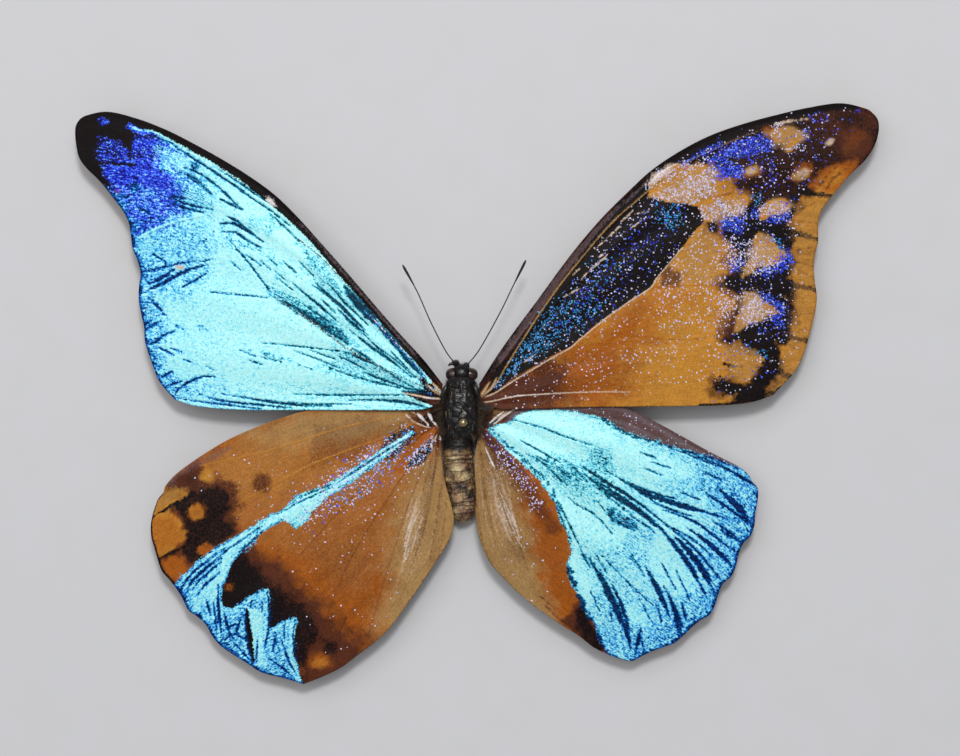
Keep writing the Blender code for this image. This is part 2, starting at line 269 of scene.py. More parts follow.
def outlines(shapes: Iterable[str | Path]) -> list[Path]:
    """Reads several outlines or paths.

    Args:
        shapes: The ready ones, and texts that hold one or more, parted by semicolons.

    Returns:
        The points of each.
    """
    found: list[Path] = []
    for shape in shapes:
        found += [traced(text) for text in shape.split(";")] if isinstance(shape, str) else [shape]
    return found


def patches(pigment: Pigment, *shapes: str | Path, **settings: float) -> tuple[Patch, ...]:
    """Makes patches of the same kind.

    Args:
        pigment: Their kind of scale.
        *shapes: Their outlines.
        **settings: Other fields of each patch.

    Returns:
        The patches.
    """
    return tuple(Patch(pigment, shape, **settings) for shape in outlines(shapes))


def streaks(pigment: Pigment, width: float, *shapes: str | Path, **settings: float) -> tuple[Streak, ...]:
    """Makes streaks of the same kind.

    Args:
        pigment: Their kind of scale.
        width: Their width, in photo pixels.
        *shapes: Their paths.
        **settings: Other fields of each streak.

    Returns:
        The streaks.
    """
    return tuple(Streak(pigment, shape, width, **settings) for shape in outlines(shapes))


def oval(x: float, y: float, half_width: float, half_height: float, turn: float = 0.0) -> Path:
    """An oval outline.

    Args:
        x: Its middle, across the photo.
        y: Its middle, down the photo.
        half_width: Half its width.
        half_height: Half its height.
        turn: How far it is turned, in degrees.

    Returns:
        The outline's points.
    """
    tilt = math.radians(turn)
    points = []
    for step in range(12):
        angle = 2 * math.pi * step / 12
        across, down = half_width * math.cos(angle), half_height * math.sin(angle)
        points.append((x + across * math.cos(tilt) - down * math.sin(tilt),
                       y + across * math.sin(tilt) + down * math.cos(tilt)))
    return tuple(points)


VEIN_LIFT = 0.07  # a vein's height over the membrane, in millimetres
CREASE_DEPTH = -0.12  # a fold's depth in the blue scales, in millimetres


def creases(width: float, *shapes: str | Path, dark: float = 1.0) -> tuple[Streak, ...]:
    """Makes folds in the blue scales, pressed in and painted navy as their shade, thin at both ends.

    Args:
        width: The folds' width, in photo pixels.
        *shapes: Their paths.
        dark: How dark their painted shade is.

    Returns:
        One streak for each fold.
    """
    return streaks(P.NAVY, width, *shapes, strength=dark, start_width=0.8, end_width=1.2, lift=CREASE_DEPTH,
                   waver=0.15 * width)


def glints(glint: Glint, density: float, *shapes: str | Path, **settings: float) -> tuple[Glints, ...]:
    """Makes scattered scales of the same kind.

    Args:
        glint: Their colour.
        density: The share of scales that flash.
        *shapes: Their outlines.
        **settings: Other fields.

    Returns:
        One mark for each outline.
    """
    return tuple(Glints(glint, shape, density, **settings) for shape in outlines(shapes))


FOREWING_LEFT_EDGE: Path = traced(
    "446,384 430,366 410,344 390,321 370,298 350,275 330,251 310,229 290,210 270,193 250,179 230,165 210,152.5 "
    "190,142 170,131 150,123 130,117 100,111")

FOREWING_LEFT_MARKS: tuple[Mark, ...] = (
    # stippled with deeper blue
    *patches(P.AZURE, "96,138 150,134 176,146 200,162 216,178 222,200 208,214 180,219 150,222 133,240 120,205 100,172",
        soft=9, strength=0.34, wander=8),
    *patches(P.AZURE, "160,184 200,188 214,206 200,214 168,216 140,220 126,206 138,188; 172,168 196,172 214,192 "
        "198,192 178,180", soft=6, strength=0.5, wander=7, streaky=0.4),
    *patches(P.AZURE, "195,226 222,228 240,232 236,252 206,254; 150,230 200,232 205,250 150,252; 176,378 230,376 "
        "226,398 178,398", soft=7, strength=0.26, wander=6),
    *patches(P.AZURE, "138,262 152,262 190,258 196,266 160,282 144,292; 136,296 152,298 160,318 180,332 164,348 "
        "172,368 184,390 174,400 150,370 142,330", soft=8, strength=0.55, wander=9),
    *patches(P.AZURE, "132,228 200,222 212,250 206,276 186,300 150,300 138,262", soft=10, strength=0.34, wander=9),
    *patches(P.AZURE, "336,346 370,354 405,372 438,392 400,390 365,380 338,380 322,366; 300,246 318,252 352,300 "
        "338,304 316,276", soft=5, strength=0.6, wander=7, streaky=0.3),
    *patches(P.AZURE, "262,250 300,262 380,336 430,384 400,376 330,330 290,290; 240,386 430,388 440,404 300,408 "
        "240,404", soft=8, strength=0.3, wander=6, streaky=0.7),
    # violet at the tip
    *patches(P.VIOLET, "84,130 150,128 178,146 196,166 188,192 176,216 134,240 90,200", soft=14, strength=0.56,
        wander=12),
    *patches(P.VIOLET, "80,132 132,130 158,136 163,160 168,178 170,194 148,189 124,192 100,196 80,166", soft=5,
        strength=1.0, wander=6),
    *patches(P.SOOT, "88,134 134,134 132,164 88,168; 134,147 160,149 160,160 130,160", soft=6, strength=0.42, wander=6),
    *patches(P.CYAN, "158,141 200,160 216,178 190,176 158,170; 122,190 150,193 160,212 140,216 126,205", soft=6,
        strength=0.45, wander=6),
    *streaks(P.VIOLET, 3, "150,139 176,151 204,166 232,187", strength=0.5),
    # the black edge and tip
    *streaks(P.AZURE, 6, "230,172 250,186 270,200 290,217 310,236 330,258", strength=0.8, start_width=2, end_width=5,
        waver=1),
    *streaks(P.SOOT, 17, FOREWING_LEFT_EDGE, end_width=17, strength=1.0, waver=0.2),
    *streaks(P.MAUVE, 6, "432,372 410,347 390,325 350,279 320,244 296,220", end_width=3, strength=0.4, waver=1.2),
    *streaks(P.MAUVE, 1.4, "437,379 400,338 360,292 326,254; 424,358 388,318 340,262", strength=0.45, waver=0.4),
    *patches(P.SOOT, "60,90 150,112 150,121 134,123 130,128 140,134 156,137 146,139 134,139 129,146 126,146 122,140 "
        "108,138 98,139 96.5,150 97,162 101,166 105,174 111,182 119,193 112,202 60,160", soft=4.6, wander=2),
    *streaks(P.SOOT, 4.4, "92,162 108,163.5 124,164.5 136,165", end_width=2, waver=1.6),
    *streaks(P.SOOT, 5, "129,143 130.5,152 129,163", strength=0.8, waver=2),
    *patches(P.VIOLET, "105,122,6,3.4", soft=2, strength=0.75, wander=2.5),
    *streaks(P.VIOLET, 5.5, "130,126 140,131 153,134", end_width=3, strength=0.8, waver=1.5),
    *streaks(P.CYAN, 3, "134,128.5 141,130.5 146,131.5"),
    *streaks(P.CYAN, 2, "148,131 156,133 170,140 190,151 210,162 230,174 250,188", waver=0.6),
    # folds, with painted navy shade
    *creases(2.6, "150,135 170,143 180,150 194,159 210,169 222,177 234,185 250,197 270,210 290,226"),
    *creases(1.8, "214,167 232,178 252,192 272,205; 270,214 286,228 300,242"),
    *patches(P.CREAM, "166,216,6,3; 178,267,6,1.8", soft=1.8, strength=0.8, wander=2),
    *patches(P.MAUVE, "167,217,4,2.4", soft=1.6, strength=0.5, wander=1.5),
    *patches(P.RUST, "117,191,4,3", soft=1.6, strength=0.6, wander=1.5),
    # a pale worn fleck, brightened with pearl painted highlight
    *patches(P.PAINTED_HIGHLIGHT, "272,202.5,8.5,2.2,40", soft=2.6, strength=0.7),
    *patches(P.AZURE, "250,216 276,217 280,230 262,236 248,228", soft=5, strength=0.4, wander=5),
    # the crease across the tip, with painted navy shade
    *patches(P.VIOLET, "104,186 150,190 186,198 184,214 160,222 132,234 116,214", soft=8, strength=0.5, wander=8),
    *patches(P.NAVY, "129,224 146,217 166,217 160,223 148,229 138,236 131,241", soft=2, strength=0.6, wander=2.5),
    *patches(P.VIOLET, "127,224 146,215 168,214 160,224 148,230 138,237 131,241", soft=3, strength=0.5, wander=2.5),
    *streaks(P.CYAN, 3, "134,241 150,232 170,223.5 200,216", end_width=2, lift=0.12),
    *patches(P.NAVY, "195,166,4.5,3,30; 135,186,4,6", soft=2, strength=0.7, wander=2),
    *creases(4.6, "178,171 194,179 206,189 213,196", dark=0.85),
    *creases(2.6, "168,197 190,205 213,210; 170,203 188,209 204,213; 118,196 128,197; 172,196 186,199; 136,206 "
        "150,214; 210,181 222,190 232,200 243,210; 220,199 230,204 242,210; 184,168 200,174 214,183"),
    # the dark band along the cell and the dark wedge beside the leading edge: painted shade along the veins
    *patches(P.AZURE, "266,286 280,292 297,298 315,309 332,321 348,333 360,346 346,345 330,335 312,323 296,313 "
        "282,304 272,296", soft=2, strength=0.95, wander=2),
    *patches(P.NAVY, "284,301 298,305 316,316 333,326 345,336 352,344 338,338 320,327 300,314", soft=2, strength=0.66,
        wander=2.5),
    *patches(P.AZURE, "318,262 338,278 356,300 352,308 338,296 324,280", soft=4, strength=0.6, wander=4, streaky=0.8),
    *patches(P.NAVY, "341,281 351,290 363,303 374,314.5 386,327.5 398,342 410,357 422,374 414,369 401,355 389,341.5 "
        "377,328 365,317 353,304 345,293", soft=1.6, strength=1.0, wander=1.6),
    *streaks(P.VIOLET, 1.6, "364,310 380,327 400,349 426,377", end_width=1.2, strength=0.7),
    # pearl painted highlight along the vein
    *streaks(P.PAINTED_HIGHLIGHT, 1.0, "368,312.5 384,330 404,351 420,368", strength=0.5, waver=0.5),
    *streaks(P.AZURE, 4.5, "303,247 312,262 320,273; 326,279 336,292 347,304", strength=0.75, waver=1.5, start_width=1),
    # folds, with painted navy shade
    *creases(3.6, "221,224 232,223.5 241,227 252,234 264,242; 141,294 152,288 165,282 178,275 192,269 208,265; "
        "148,284 158,280 166,275 175,269; 316,283 325,292 340,305 352,317 366,330"),
    *creases(2.9, "228,217 238,222 246,228; 146,346 155,342 164,335 175,331; 145,332 152,325 161,321; 174,397 178,390 "
        "185,384 196,379 206,376 216,377; 352,348 362,354 376,364; 400,352 412,366 426,380; 402,391 420,393 437,396; "
        "150,299 158,307 166,316"),
    *creases(2.4, "222,232 236,233 247,240 263,249; 199,394 215,399 232,402 262,405 292,408; 250,399 280,403 314,407; "
        "331,286 345,303 356,313 368,325; 338,309 352,322 368,335; 154,346 164,350 174,355; 182,288 192,282 206,274; "
        "284,301 305,314 325,328 348,344; 156,373 162,377 172,371; 165,389 173,384 182,381"),
    *creases(1.9, "230,241 240,252 250,264 258,275 269,289; 139,272 152,270 165,267 182,263 197,261; 222,394 242,397 "
        "262,400 292,404 332,406; 176,398 195,401 222,404 262,409; 294,394 330,395 370,395 404,395; 350,400 380,400 "
        "402,401 425,406; 322,300 336,313; 366,336 380,350 397,365; 350,330 372,348 393,363; 392,352 410,371; 144,324 "
        "151,320; 148,352 157,360; 150,253 158,257 167,263"),
    *creases(1.5, "262,343 295,346 320,349 340,351; 295,351 315,358 340,368; 262,357 282,362; 250,360 263,365; "
        "310,350 335,359; 240,350 257,357; 278,279 293,290; 293,283 310,298 328,314; 261,261 271,270; 300,262 "
        "314,276; 268,257 278,266; 284,262 297,273; 276,272 287,281; 210,292 240,295 268,298; 290,402 312,404 "
        "352,404; 360,338 385,356 412,377; 380,366 400,380 420,391; 183,359 193,363; 206,365 213,370; 330,368 360,378 "
        "400,388; 306,306 330,322; 345,318 366,336; 375,345 398,362 416,378; 200,262 210,260; 232,262 240,270; "
        "247,255 262,266; 170,348 182,352; 176,326 186,330"),
    *streaks(P.AZURE, 3.2, "248,349 262,352 278,357 296,363 313,370; 196,326 206,330; 186,332 190,338; 232,240 "
        "262,252", strength=0.7, waver=2.5, start_width=1),
    *patches(P.AZURE, "344,350 366,352 392,366 420,384 404,388 372,376 346,362", soft=4, strength=0.6, wander=4,
        streaky=0.9),
    *creases(2.2, "313,285 330,297 345,310 364,329.5; 300,289 312,299 323,308 339,323; 344,352 360,358 378,366; "
        "338,356 352,362 366,370; 364,372 384,380 404,387"),
    *streaks(P.UMBER, 1.3, "300,311 323,329.5 346,348.5 364,358.5 383,368 408,380 434,392", strength=0.6,
        start_width=1.0, end_width=1.3),
    *patches(P.AZURE, "390,403 420,404 438,408 420,412 390,412", soft=2, strength=0.55, wander=3, streaky=0.5),
    *creases(2.6, "384,401 404,402.5 418,405 430,408.5; 404,388 420,390.5 436,395"),
    *patches(P.SOOT, "402,391.5 420,393 436,394.5 448,396 450,412 437,410 428,404.5 414,398.5", soft=1.2,
        strength=0.92, wander=0.8),
    *patches(P.UMBER, "420,398 440,400 440,406 430,403", soft=1.5, strength=0.8, wander=1),
    # veins
    *streaks(P.UMBER, 1.5, "298,239 320,256 340,277 352,291; 275,297 300,314 320,328 340,342 356,353 376,366 402,382",
        strength=0.62, lift=VEIN_LIFT),
    *patches(P.SOOT, "418,376 428,380 438,392 450,400 440,398 424,390", soft=2, strength=0.85, wander=2),
    *glints(Glint.ULTRAMARINE, 0.12, "414,374 426,378 440,394 436,399 420,390", soft=3),
    *patches(P.SOOT, "414,350 428,362 444,378 456,396 446,392 434,378 420,364", soft=2.4, strength=0.85),
    *patches(P.UMBER, "436,378 446,386 452,396 450,402 440,394", soft=2.4, strength=0.6),
    *streaks(P.TAN, 2.4, "433,383 438.5,389 444,395.5; 427.5,385 434,390.5 440,395", start_width=1.4, end_width=2.2,
        strength=1.0, lift=0.12),
    # pearl painted highlights on the root's fibres
    *streaks(P.PAINTED_HIGHLIGHT, 1.1, "434,384.5 438.5,389.5 442,393.5; 429,386 434,390.5", start_width=0.6, strength=0.75),
    *streaks(P.CREAM, 1.9, "403,393 415,395 428,397.6 440,398.8", start_width=1.0, end_width=1.8, strength=1.0,
        lift=0.12),
    # pearl painted highlight on the vein
    *streaks(P.PAINTED_HIGHLIGHT, 1.2, "424,397 428.5,397.9 433,398.6", strength=0.9),
)

FOREWING_RIGHT_EDGE: Path = traced(
    "474,386 490,364 510,337 530,309 550,281 570,255 590,230 610,207 630,188 650,172 670,159 690,147 710,138 740,126 "
    "770,117 800,110 830,105 856,103")

FOREWING_RIGHT_BAND: Path = traced(
    "660,162 690,146 720,132 757,118 800,104 850,96 880,104 890,125 884,142 872,158 852,172 846,164 830,165 822,172 "
    "816,180 814,190 806,196 800,203 796,212 790,222 793,234 789,246 793,256 792,268 788,282 793,291 789,300 794,311 "
    "790,328 786,338 780,345 778,357 782,371 778,381 767,389 770,396 758,404 728,405 735,400 738,393 720,394 705,390 "
    "712,382 728,378 745,384 757,376 762,366 764,358 750,350 740,342 722,340 722,333 730,326 736,316 742,306 736,298 "
    "724,292 720,285 724,277 733,272 735,264 738,250 728,242 716,232 710,225 730,218 746,214 752,206 750,196 742,190 "
    "735,183 740,178 712,176 706,170 711,165 700,162 684,163")

FOREWING_RIGHT_MARKS: tuple[Mark, ...] = (
    *patches(P.RUST, "478,402 530,362 600,324 640,304 652,330 620,398 600,412 480,412", soft=36, strength=0.95,
        wander=14, streaky=0.15),
    *patches(P.UMBER, "470,402 510,380 548,360 566,372 560,400 560,414 470,416", soft=16, strength=0.8, wander=8),
    *patches(P.UMBER, "500,384 560,354 630,340 650,362 640,394 560,402", soft=16, strength=0.2, wander=10, streaky=0.5),
    *patches(P.UMBER, "460,390 520,372 556,366 570,396 530,420 460,420", soft=34, strength=0.62, wander=8),
    *patches(P.TAN, "702,226 714,226 718,240 722,262 718,280 700,284 684,286 674,268 690,242", soft=5, strength=0.42,
        wander=4),
    *patches(P.UMBER, "668,268 678,271 683,280 676,287 660,287 658,280", soft=3, strength=0.72, wander=3),
    *patches(P.RUST, "610,316 650,290 690,288 700,300 650,320 622,340", soft=10, strength=0.4, wander=6),
    *streaks(P.RUST, 2.2, "650,288 690,286 722,284; 600,332 660,339 724,338; 700,199 716,197 738,192; 590,345 640,342 "
        "680,345", strength=0.65, waver=1.0),
    # the dark tip and the band down from it
    *patches(P.UMBER, FOREWING_RIGHT_BAND, soft=5, strength=0.6, wander=6, inset=-3.5),
    *patches(P.SOOT, FOREWING_RIGHT_BAND, soft=4.2, strength=0.95, wander=5),
    *patches(P.UMBER, "842,132 872,132 876,150 860,164 846,152; 856,104 876,110 880,128 862,124; 740,252 726,246 "
        "720,262 730,276 742,262; 716,322 738,300 742,316 728,338 716,340", soft=6, strength=0.62, wander=4),
    *patches(P.UMBER, "812,104 864,100 888,124 880,150 850,164 828,144", soft=26, strength=0.5, wander=8),
    *patches(P.UMBER, "716,150 800,110 862,106 852,160 812,200 770,204 724,190", soft=14, strength=0.3, wander=8),
    *patches(P.SOOT, "836,112 862,110 874,126 858,136 836,132", soft=10, strength=0.3, wander=8),
    *patches(P.RUST, "842,132 862,130 864,148 846,150", soft=10, strength=0.26, wander=6),
    *patches(P.RUST, "812,186 830,166 856,162 852,178 838,191 824,195", soft=6, strength=0.8, wander=4),
    *patches(P.OCHRE, "822,182 831,172 846,170 843,178 832,187 824,189", soft=7, strength=0.55, wander=4),
    *streaks(P.UMBER, 3, "826,190 834,178 848,168; 820,186 826,176 836,168", strength=0.5, waver=2),
    *patches(P.VIOLET, "700,163 720,149 740,141 760,135 773,140 769,151 745,157 722,164; 706,171 730,163 743,169 "
        "743,179 728,179 712,179; 680,163 700,152 718,143 720,148 700,158 684,167; 752,207 768,214 789,209 788,220 "
        "770,222 750,214; 716,218 743,215 745,234 722,234; 774,240 790,250 793,262 778,274 762,275 758,269 774,265; "
        "730,259 741,259 741,274 730,274; 760,290 776,296 788,310 784,324 768,320 774,308 762,302", soft=4,
        strength=0.42, wander=4),
    # the pale spots in the dark
    *patches(P.RUST, "768,133,7,4; 753,172,10,6.5,-20; 801,174,14,7.5,-25", soft=4.5, strength=0.5, wander=3),
    *patches(P.OCHRE, "768,134 776,128.5 788,127 800,132 804,139 797,145 788,149 778,143; 763,217,4,3; 752,238 "
        "758,231.5 766,234 774,246 784,256 774,264 760,266 750,275 742,277 744,266 753,256; 741,291 752,291 760,300 "
        "772,308 776,312 764,318 750,324 740,330 734,331 738,318 744,308; 760,210 768,202 776,198 786,202 791,207 "
        "780,212 766,216", soft=2.2, wander=2.6),
    *patches(P.TAN, "764,134 776,127 790,126 806,138 790,150 776,144; 650,198 672,182 700,170 716,172 716,192 690,204 "
        "664,204; 700,212 722,198 748,200 746,214 716,222 702,222; 752,238 758,231 766,234 786,256 774,264 760,266 "
        "742,278; 741,291 752,290 778,312 764,318 750,324 734,332; 760,210 776,197 792,206 780,213 766,217", soft=5,
        strength=0.55, wander=4),
    *patches(P.CREAM, "756,238 762,234 770,245 780,256 764,264 754,264 750,272; 744,294 754,295 770,308 762,317 "
        "748,322 740,324; 762,209 776,200 788,205 772,213; 753,172,4,2,-20; 803,173,5,2,-25", soft=5, strength=0.3,
        wander=4),
    *patches(P.TAN, "801,174,10,5,-25; 753,172,7.5,4.6,-20", soft=3, strength=0.85, wander=3),
    *patches(P.CREAM, "802,173,7,3,-25; 752,171,5,2.6,-20", soft=3, strength=0.5, wander=3),
    *patches(P.CREAM, "646,198 670,184 690,176 712,168 714,182 690,200 664,202; 702,212 722,200 744,200 744,212 "
        "716,222", soft=6, strength=0.22, wander=5),
    *patches(P.CREAM, "831,142,6,3,-25", soft=2, strength=0.6, wander=2.5),
    *streaks(P.CREAM, 3, "776,124 790,121.5 806,119", end_width=1.6, strength=0.6, waver=1.5),
    *streaks(P.SOOT, 3.4, "724,364 732,366 741,366.5", end_width=1.4, strength=0.85, waver=1.5),
    *patches(P.TAN, "722,346 738,344 752,351 761,358 757,375 746,382 730,376 724,360", soft=3, strength=0.36, wander=3),
    # dark lines that reach the margin
    *streaks(P.SOOT, 5.0, "788,231 804,235 826,242; 789,284 802,287 820,291; 784,336 796,338 812,342; 778,370 786,375 "
        "796,380; 806,192 818,194 834,196; 766,397 780,389 790,380", start_width=9.0, end_width=4.0, strength=0.85,
        waver=1.5),
    *streaks(P.SOOT, 4, "700,405.5 730,403.5 770,398", end_width=2, strength=0.8),
    # the black cell and leading edge
    *patches(P.SOOT, "484,396 468,396 480,372 520,314 580,234 620,188 650,166 664,168 650,186 648,198 655,197 665,203 "
        "685,204 697,207 701,214 703,222 694,232 680,250 668,266 655,282 648,289 620,308 596,325 570,347 540,362 "
        "510,380 494,391", soft=1.2, wander=0.7),
    *streaks(P.SOOT, 13, FOREWING_RIGHT_EDGE, end_width=12, waver=0.6),
    *streaks(P.UMBER, 9, "492,374 530,320 580,248 620,200 648,176", start_width=6, strength=0.4, waver=1.5),
    *streaks(P.MAUVE, 7, "484,380 512,342 545,296 580,250 612,214 646,184", start_width=6, end_width=3, strength=0.42,
        waver=1.2),
    *streaks(P.MAUVE, 1.4, "488,380 514,344 548,298 584,252 616,216; 482,378 506,344 540,296 576,246 610,208",
        strength=0.4, waver=0.4),
    *streaks(P.SOOT, 1.6, "494,380 518,346 552,300 588,252 620,217", strength=0.6),
    *patches(P.CREAM, "644,186 652,174 668,165 682,161 671,170 657,182 648,189", soft=3, strength=0.75, wander=2,
        streaky=0.3),
    # pearl painted highlight along the pale strip
    *streaks(P.PAINTED_HIGHLIGHT, 1.4, "648,185 657,176 668,168; 654,178 664,171 676,164", strength=0.7, start_width=0.8,
        waver=0.5),
    *streaks(P.SOOT, 2, "641,196 652,187 668,177 684,166", strength=0.55),
    # veins
    *streaks(P.TAN, 1.7, "480,397 495,385 505,368 515,352 527,333 540,313 560,285 580,260 600,236 620,215 640,198 "
        "660,180", end_width=1.4, strength=0.9, lift=0.12),
    *streaks(P.TAN, 1.5, "660,180 680,167 700,156 720,147 740,138 760,131", strength=0.6, lift=0.1),
    *streaks(P.CREAM, 1.3, "483,397.4 495,393 510,383 530,371 550,359 570,348 578,341 590,331 610,315 630,301 650,288 "
        "655,280 665,268 675,256 682,248", end_width=0.9, strength=0.95, lift=VEIN_LIFT),
    *streaks(P.CREAM, 1.3, "483,402.4 494,400.8 514,396.3 545,394 590,392 630,392", end_width=0.8, strength=0.95,
        lift=VEIN_LIFT),
    # pearl painted highlight on the vein
    *streaks(P.PAINTED_HIGHLIGHT, 0.9, "505,398.4 522,395.4 548,393.8", strength=0.8),
    *patches(P.UMBER, "470,392 484,378 492,372 492,386 484,404 470,406", soft=2.4, strength=0.9),
    *patches(P.SOOT, "474,384 486,372 496,360 500,368 494,380 482,392 472,396", soft=3, strength=0.55, wander=2),
    *streaks(P.TAN, 2.5, "479.5,396 484,390.5 489.5,382.5; 480,397.5 487,392 492,387 496.5,378", start_width=2.2,
        end_width=1.4, strength=1.0, lift=0.12),
    *streaks(P.CREAM, 1.3, "481,395 485,390 489,383; 484,395 491,388.5 496,379.5", strength=0.75, start_width=0.8),
    *patches(P.TAN, "480,396.5,2.4,1.8", soft=1.2),
    # satin dashes in the cell: painted highlights on small folds
    *streaks(P.CREAM, 1.9, "564,297 573,292 581,288; 580,281 589,271; 590,270 600,262 608,254; 594,250 606,240; "
        "606,239 619,227; 620,223 633,211; 630,229 641,221; 572,276 580,268; 524,362 536,354; 636,214 648,212; "
        "598,258 604,254", strength=0.75, start_width=0.8, end_width=0.8, waver=0.8, lift=0.05),
    # flashes
    *glints(Glint.TEAL, 0.8, "496,387 510,366 523,344 538,332 548,338 552,350 530,360 510,378", soft=4),
    *glints(Glint.TEAL, 0.24, "520,346 548,306 576,286 606,300 576,336 530,362; 590,256 622,262 610,284 588,290",
        soft=6),
    *glints(Glint.TEAL, 0.5, "655,204 680,203 682,226 670,230 656,222; 766,238 782,240 784,250 774,250; 750,195 "
        "761,195 763,206 752,207; 747,344 756,349 768,352 765,359 754,355", soft=3, wander=2),
    *glints(Glint.ULTRAMARINE, 0.12, "540,330 600,250 650,203 684,206 680,240 640,290 580,336", soft=6),
    *glints(Glint.TEAL, 0.5, "526,344 540,318 572,296 584,320 560,340", soft=6, wander=5),
    *glints(Glint.ULTRAMARINE, 0.5, "574,282 596,286 592,300 578,296; 640,240 652,240 650,250 640,250", soft=4,
        wander=3),
    *glints(Glint.ULTRAMARINE, 0.95, "704,161 720,149 740,141 760,135 773,140 769,151 745,156 722,164 712,166; "
        "706,171 730,163 743,169 743,179 728,179 712,179; 680,164 700,153 720,143 720,147 700,157 682,167; 769,213 "
        "789,209 788,220 770,221; 778,249 793,255 792,267 776,274 762,275 758,268 774,265; 756,291 770,294 784,304 "
        "788,316 778,323 768,318 774,308 762,302", soft=3, wander=2.5),
    *glints(Glint.ULTRAMARINE, 0.6, "716,218 743,217 742,236 722,234; 730,261 741,261 741,272 730,272; 799,131 "
        "809,129 813,141 805,145; 744,209 757,213 753,222 743,220", soft=3, wander=2.5),
    *glints(Glint.ULTRAMARINE, 0.34, "762,166 777,170 776,188 760,188; 744,156 770,152 778,166 748,168; 808,114 "
        "826,114 826,122 810,122; 776,196 794,200 790,212 778,206; 752,320 788,316 784,332 756,334", soft=4),
    *glints(Glint.ULTRAMARINE, 0.06, "700,150 860,110 790,220 780,380 716,396"),
    *glints(Glint.WHITE, 0.05, "690,160 850,108 790,220 780,380 716,396"),
    *glints(Glint.WHITE, 0.85, "652,199 688,176 713,167 716,190 692,204; 699,209 724,196 748,205 742,218 704,223",
        soft=4, wander=4),
    *glints(Glint.WHITE, 0.75, "722,240 740,237 748,262 730,274 720,262; 742,240 752,240 756,256 790,262 770,271 "
        "744,278; 755,205 791,204 787,216 757,217; 742,289 754,290 762,301 778,312 760,323 744,331; 715,296 742,296 "
        "742,315 720,318; 646,188 660,170 680,162 704,164 670,184; 772,126 780,124 780,140 774,138; 784,146 798,144 "
        "800,149 786,152; 796,128 808,132 806,142 800,136", soft=4, wander=3),
    *glints(Glint.WHITE, 0.22, "690,228 724,232 738,290 730,332 660,330 650,290; 565,362 604,362 604,374 568,374; "
        "630,340 684,343 664,364 630,362; 650,196 700,152 760,130 712,166; 576,290 600,246 650,200 654,208 610,256 "
        "586,292"),
    *glints(Glint.WHITE, 0.08, "490,400 560,300 660,190 800,110 800,360 720,380 500,412"),
    *patches(P.TAN, "796,206 834,196 826,330 790,394 768,400 790,330", soft=8, strength=0.3, wander=6),
    *patches(P.UMBER, "796,214 830,200 822,330 790,390 772,396 790,330", soft=8, strength=0.2, wander=6, streaky=0.5),
    *streaks(P.UMBER, 1.6, "800,210 820,200; 798,222 822,224; 796,262 820,268; 798,270 818,280; 796,250 820,246; "
        "796,316 814,312; 790,346 806,352", strength=0.35, waver=1.0),
)

HINDWING_LEFT_BLUE: Path = traced(
    "412,430 394,441 380,450 366,459 350,469 340,477 330,483 320,487 310,491 302,493 297,494 293,501 285,507 275,512 "
    "262,520 250,527 240,533 228,540 215,548 205,555 197,561 190,568 183,576 174,584 170,590 186,624 232,664 303,694 "
    "304,686 299,675 295,665 292,655 292,645 294,635 297,622 295,616 288,619 280,623 273,628 269,628 268,618 269,604 "
    "270,595 268,588 262,590 255,592 246,597 240,603 233,608 224,607 221,598 222,588 226,578 229,571 233,562 238,555 "
    "246,548 256,540 266,530 276,524 284,520 290,524 295,528 302,525 309,520 311,512 318,507 326,499 336,492 348,484 "
    "372,467 388,455 402,444 414,434")

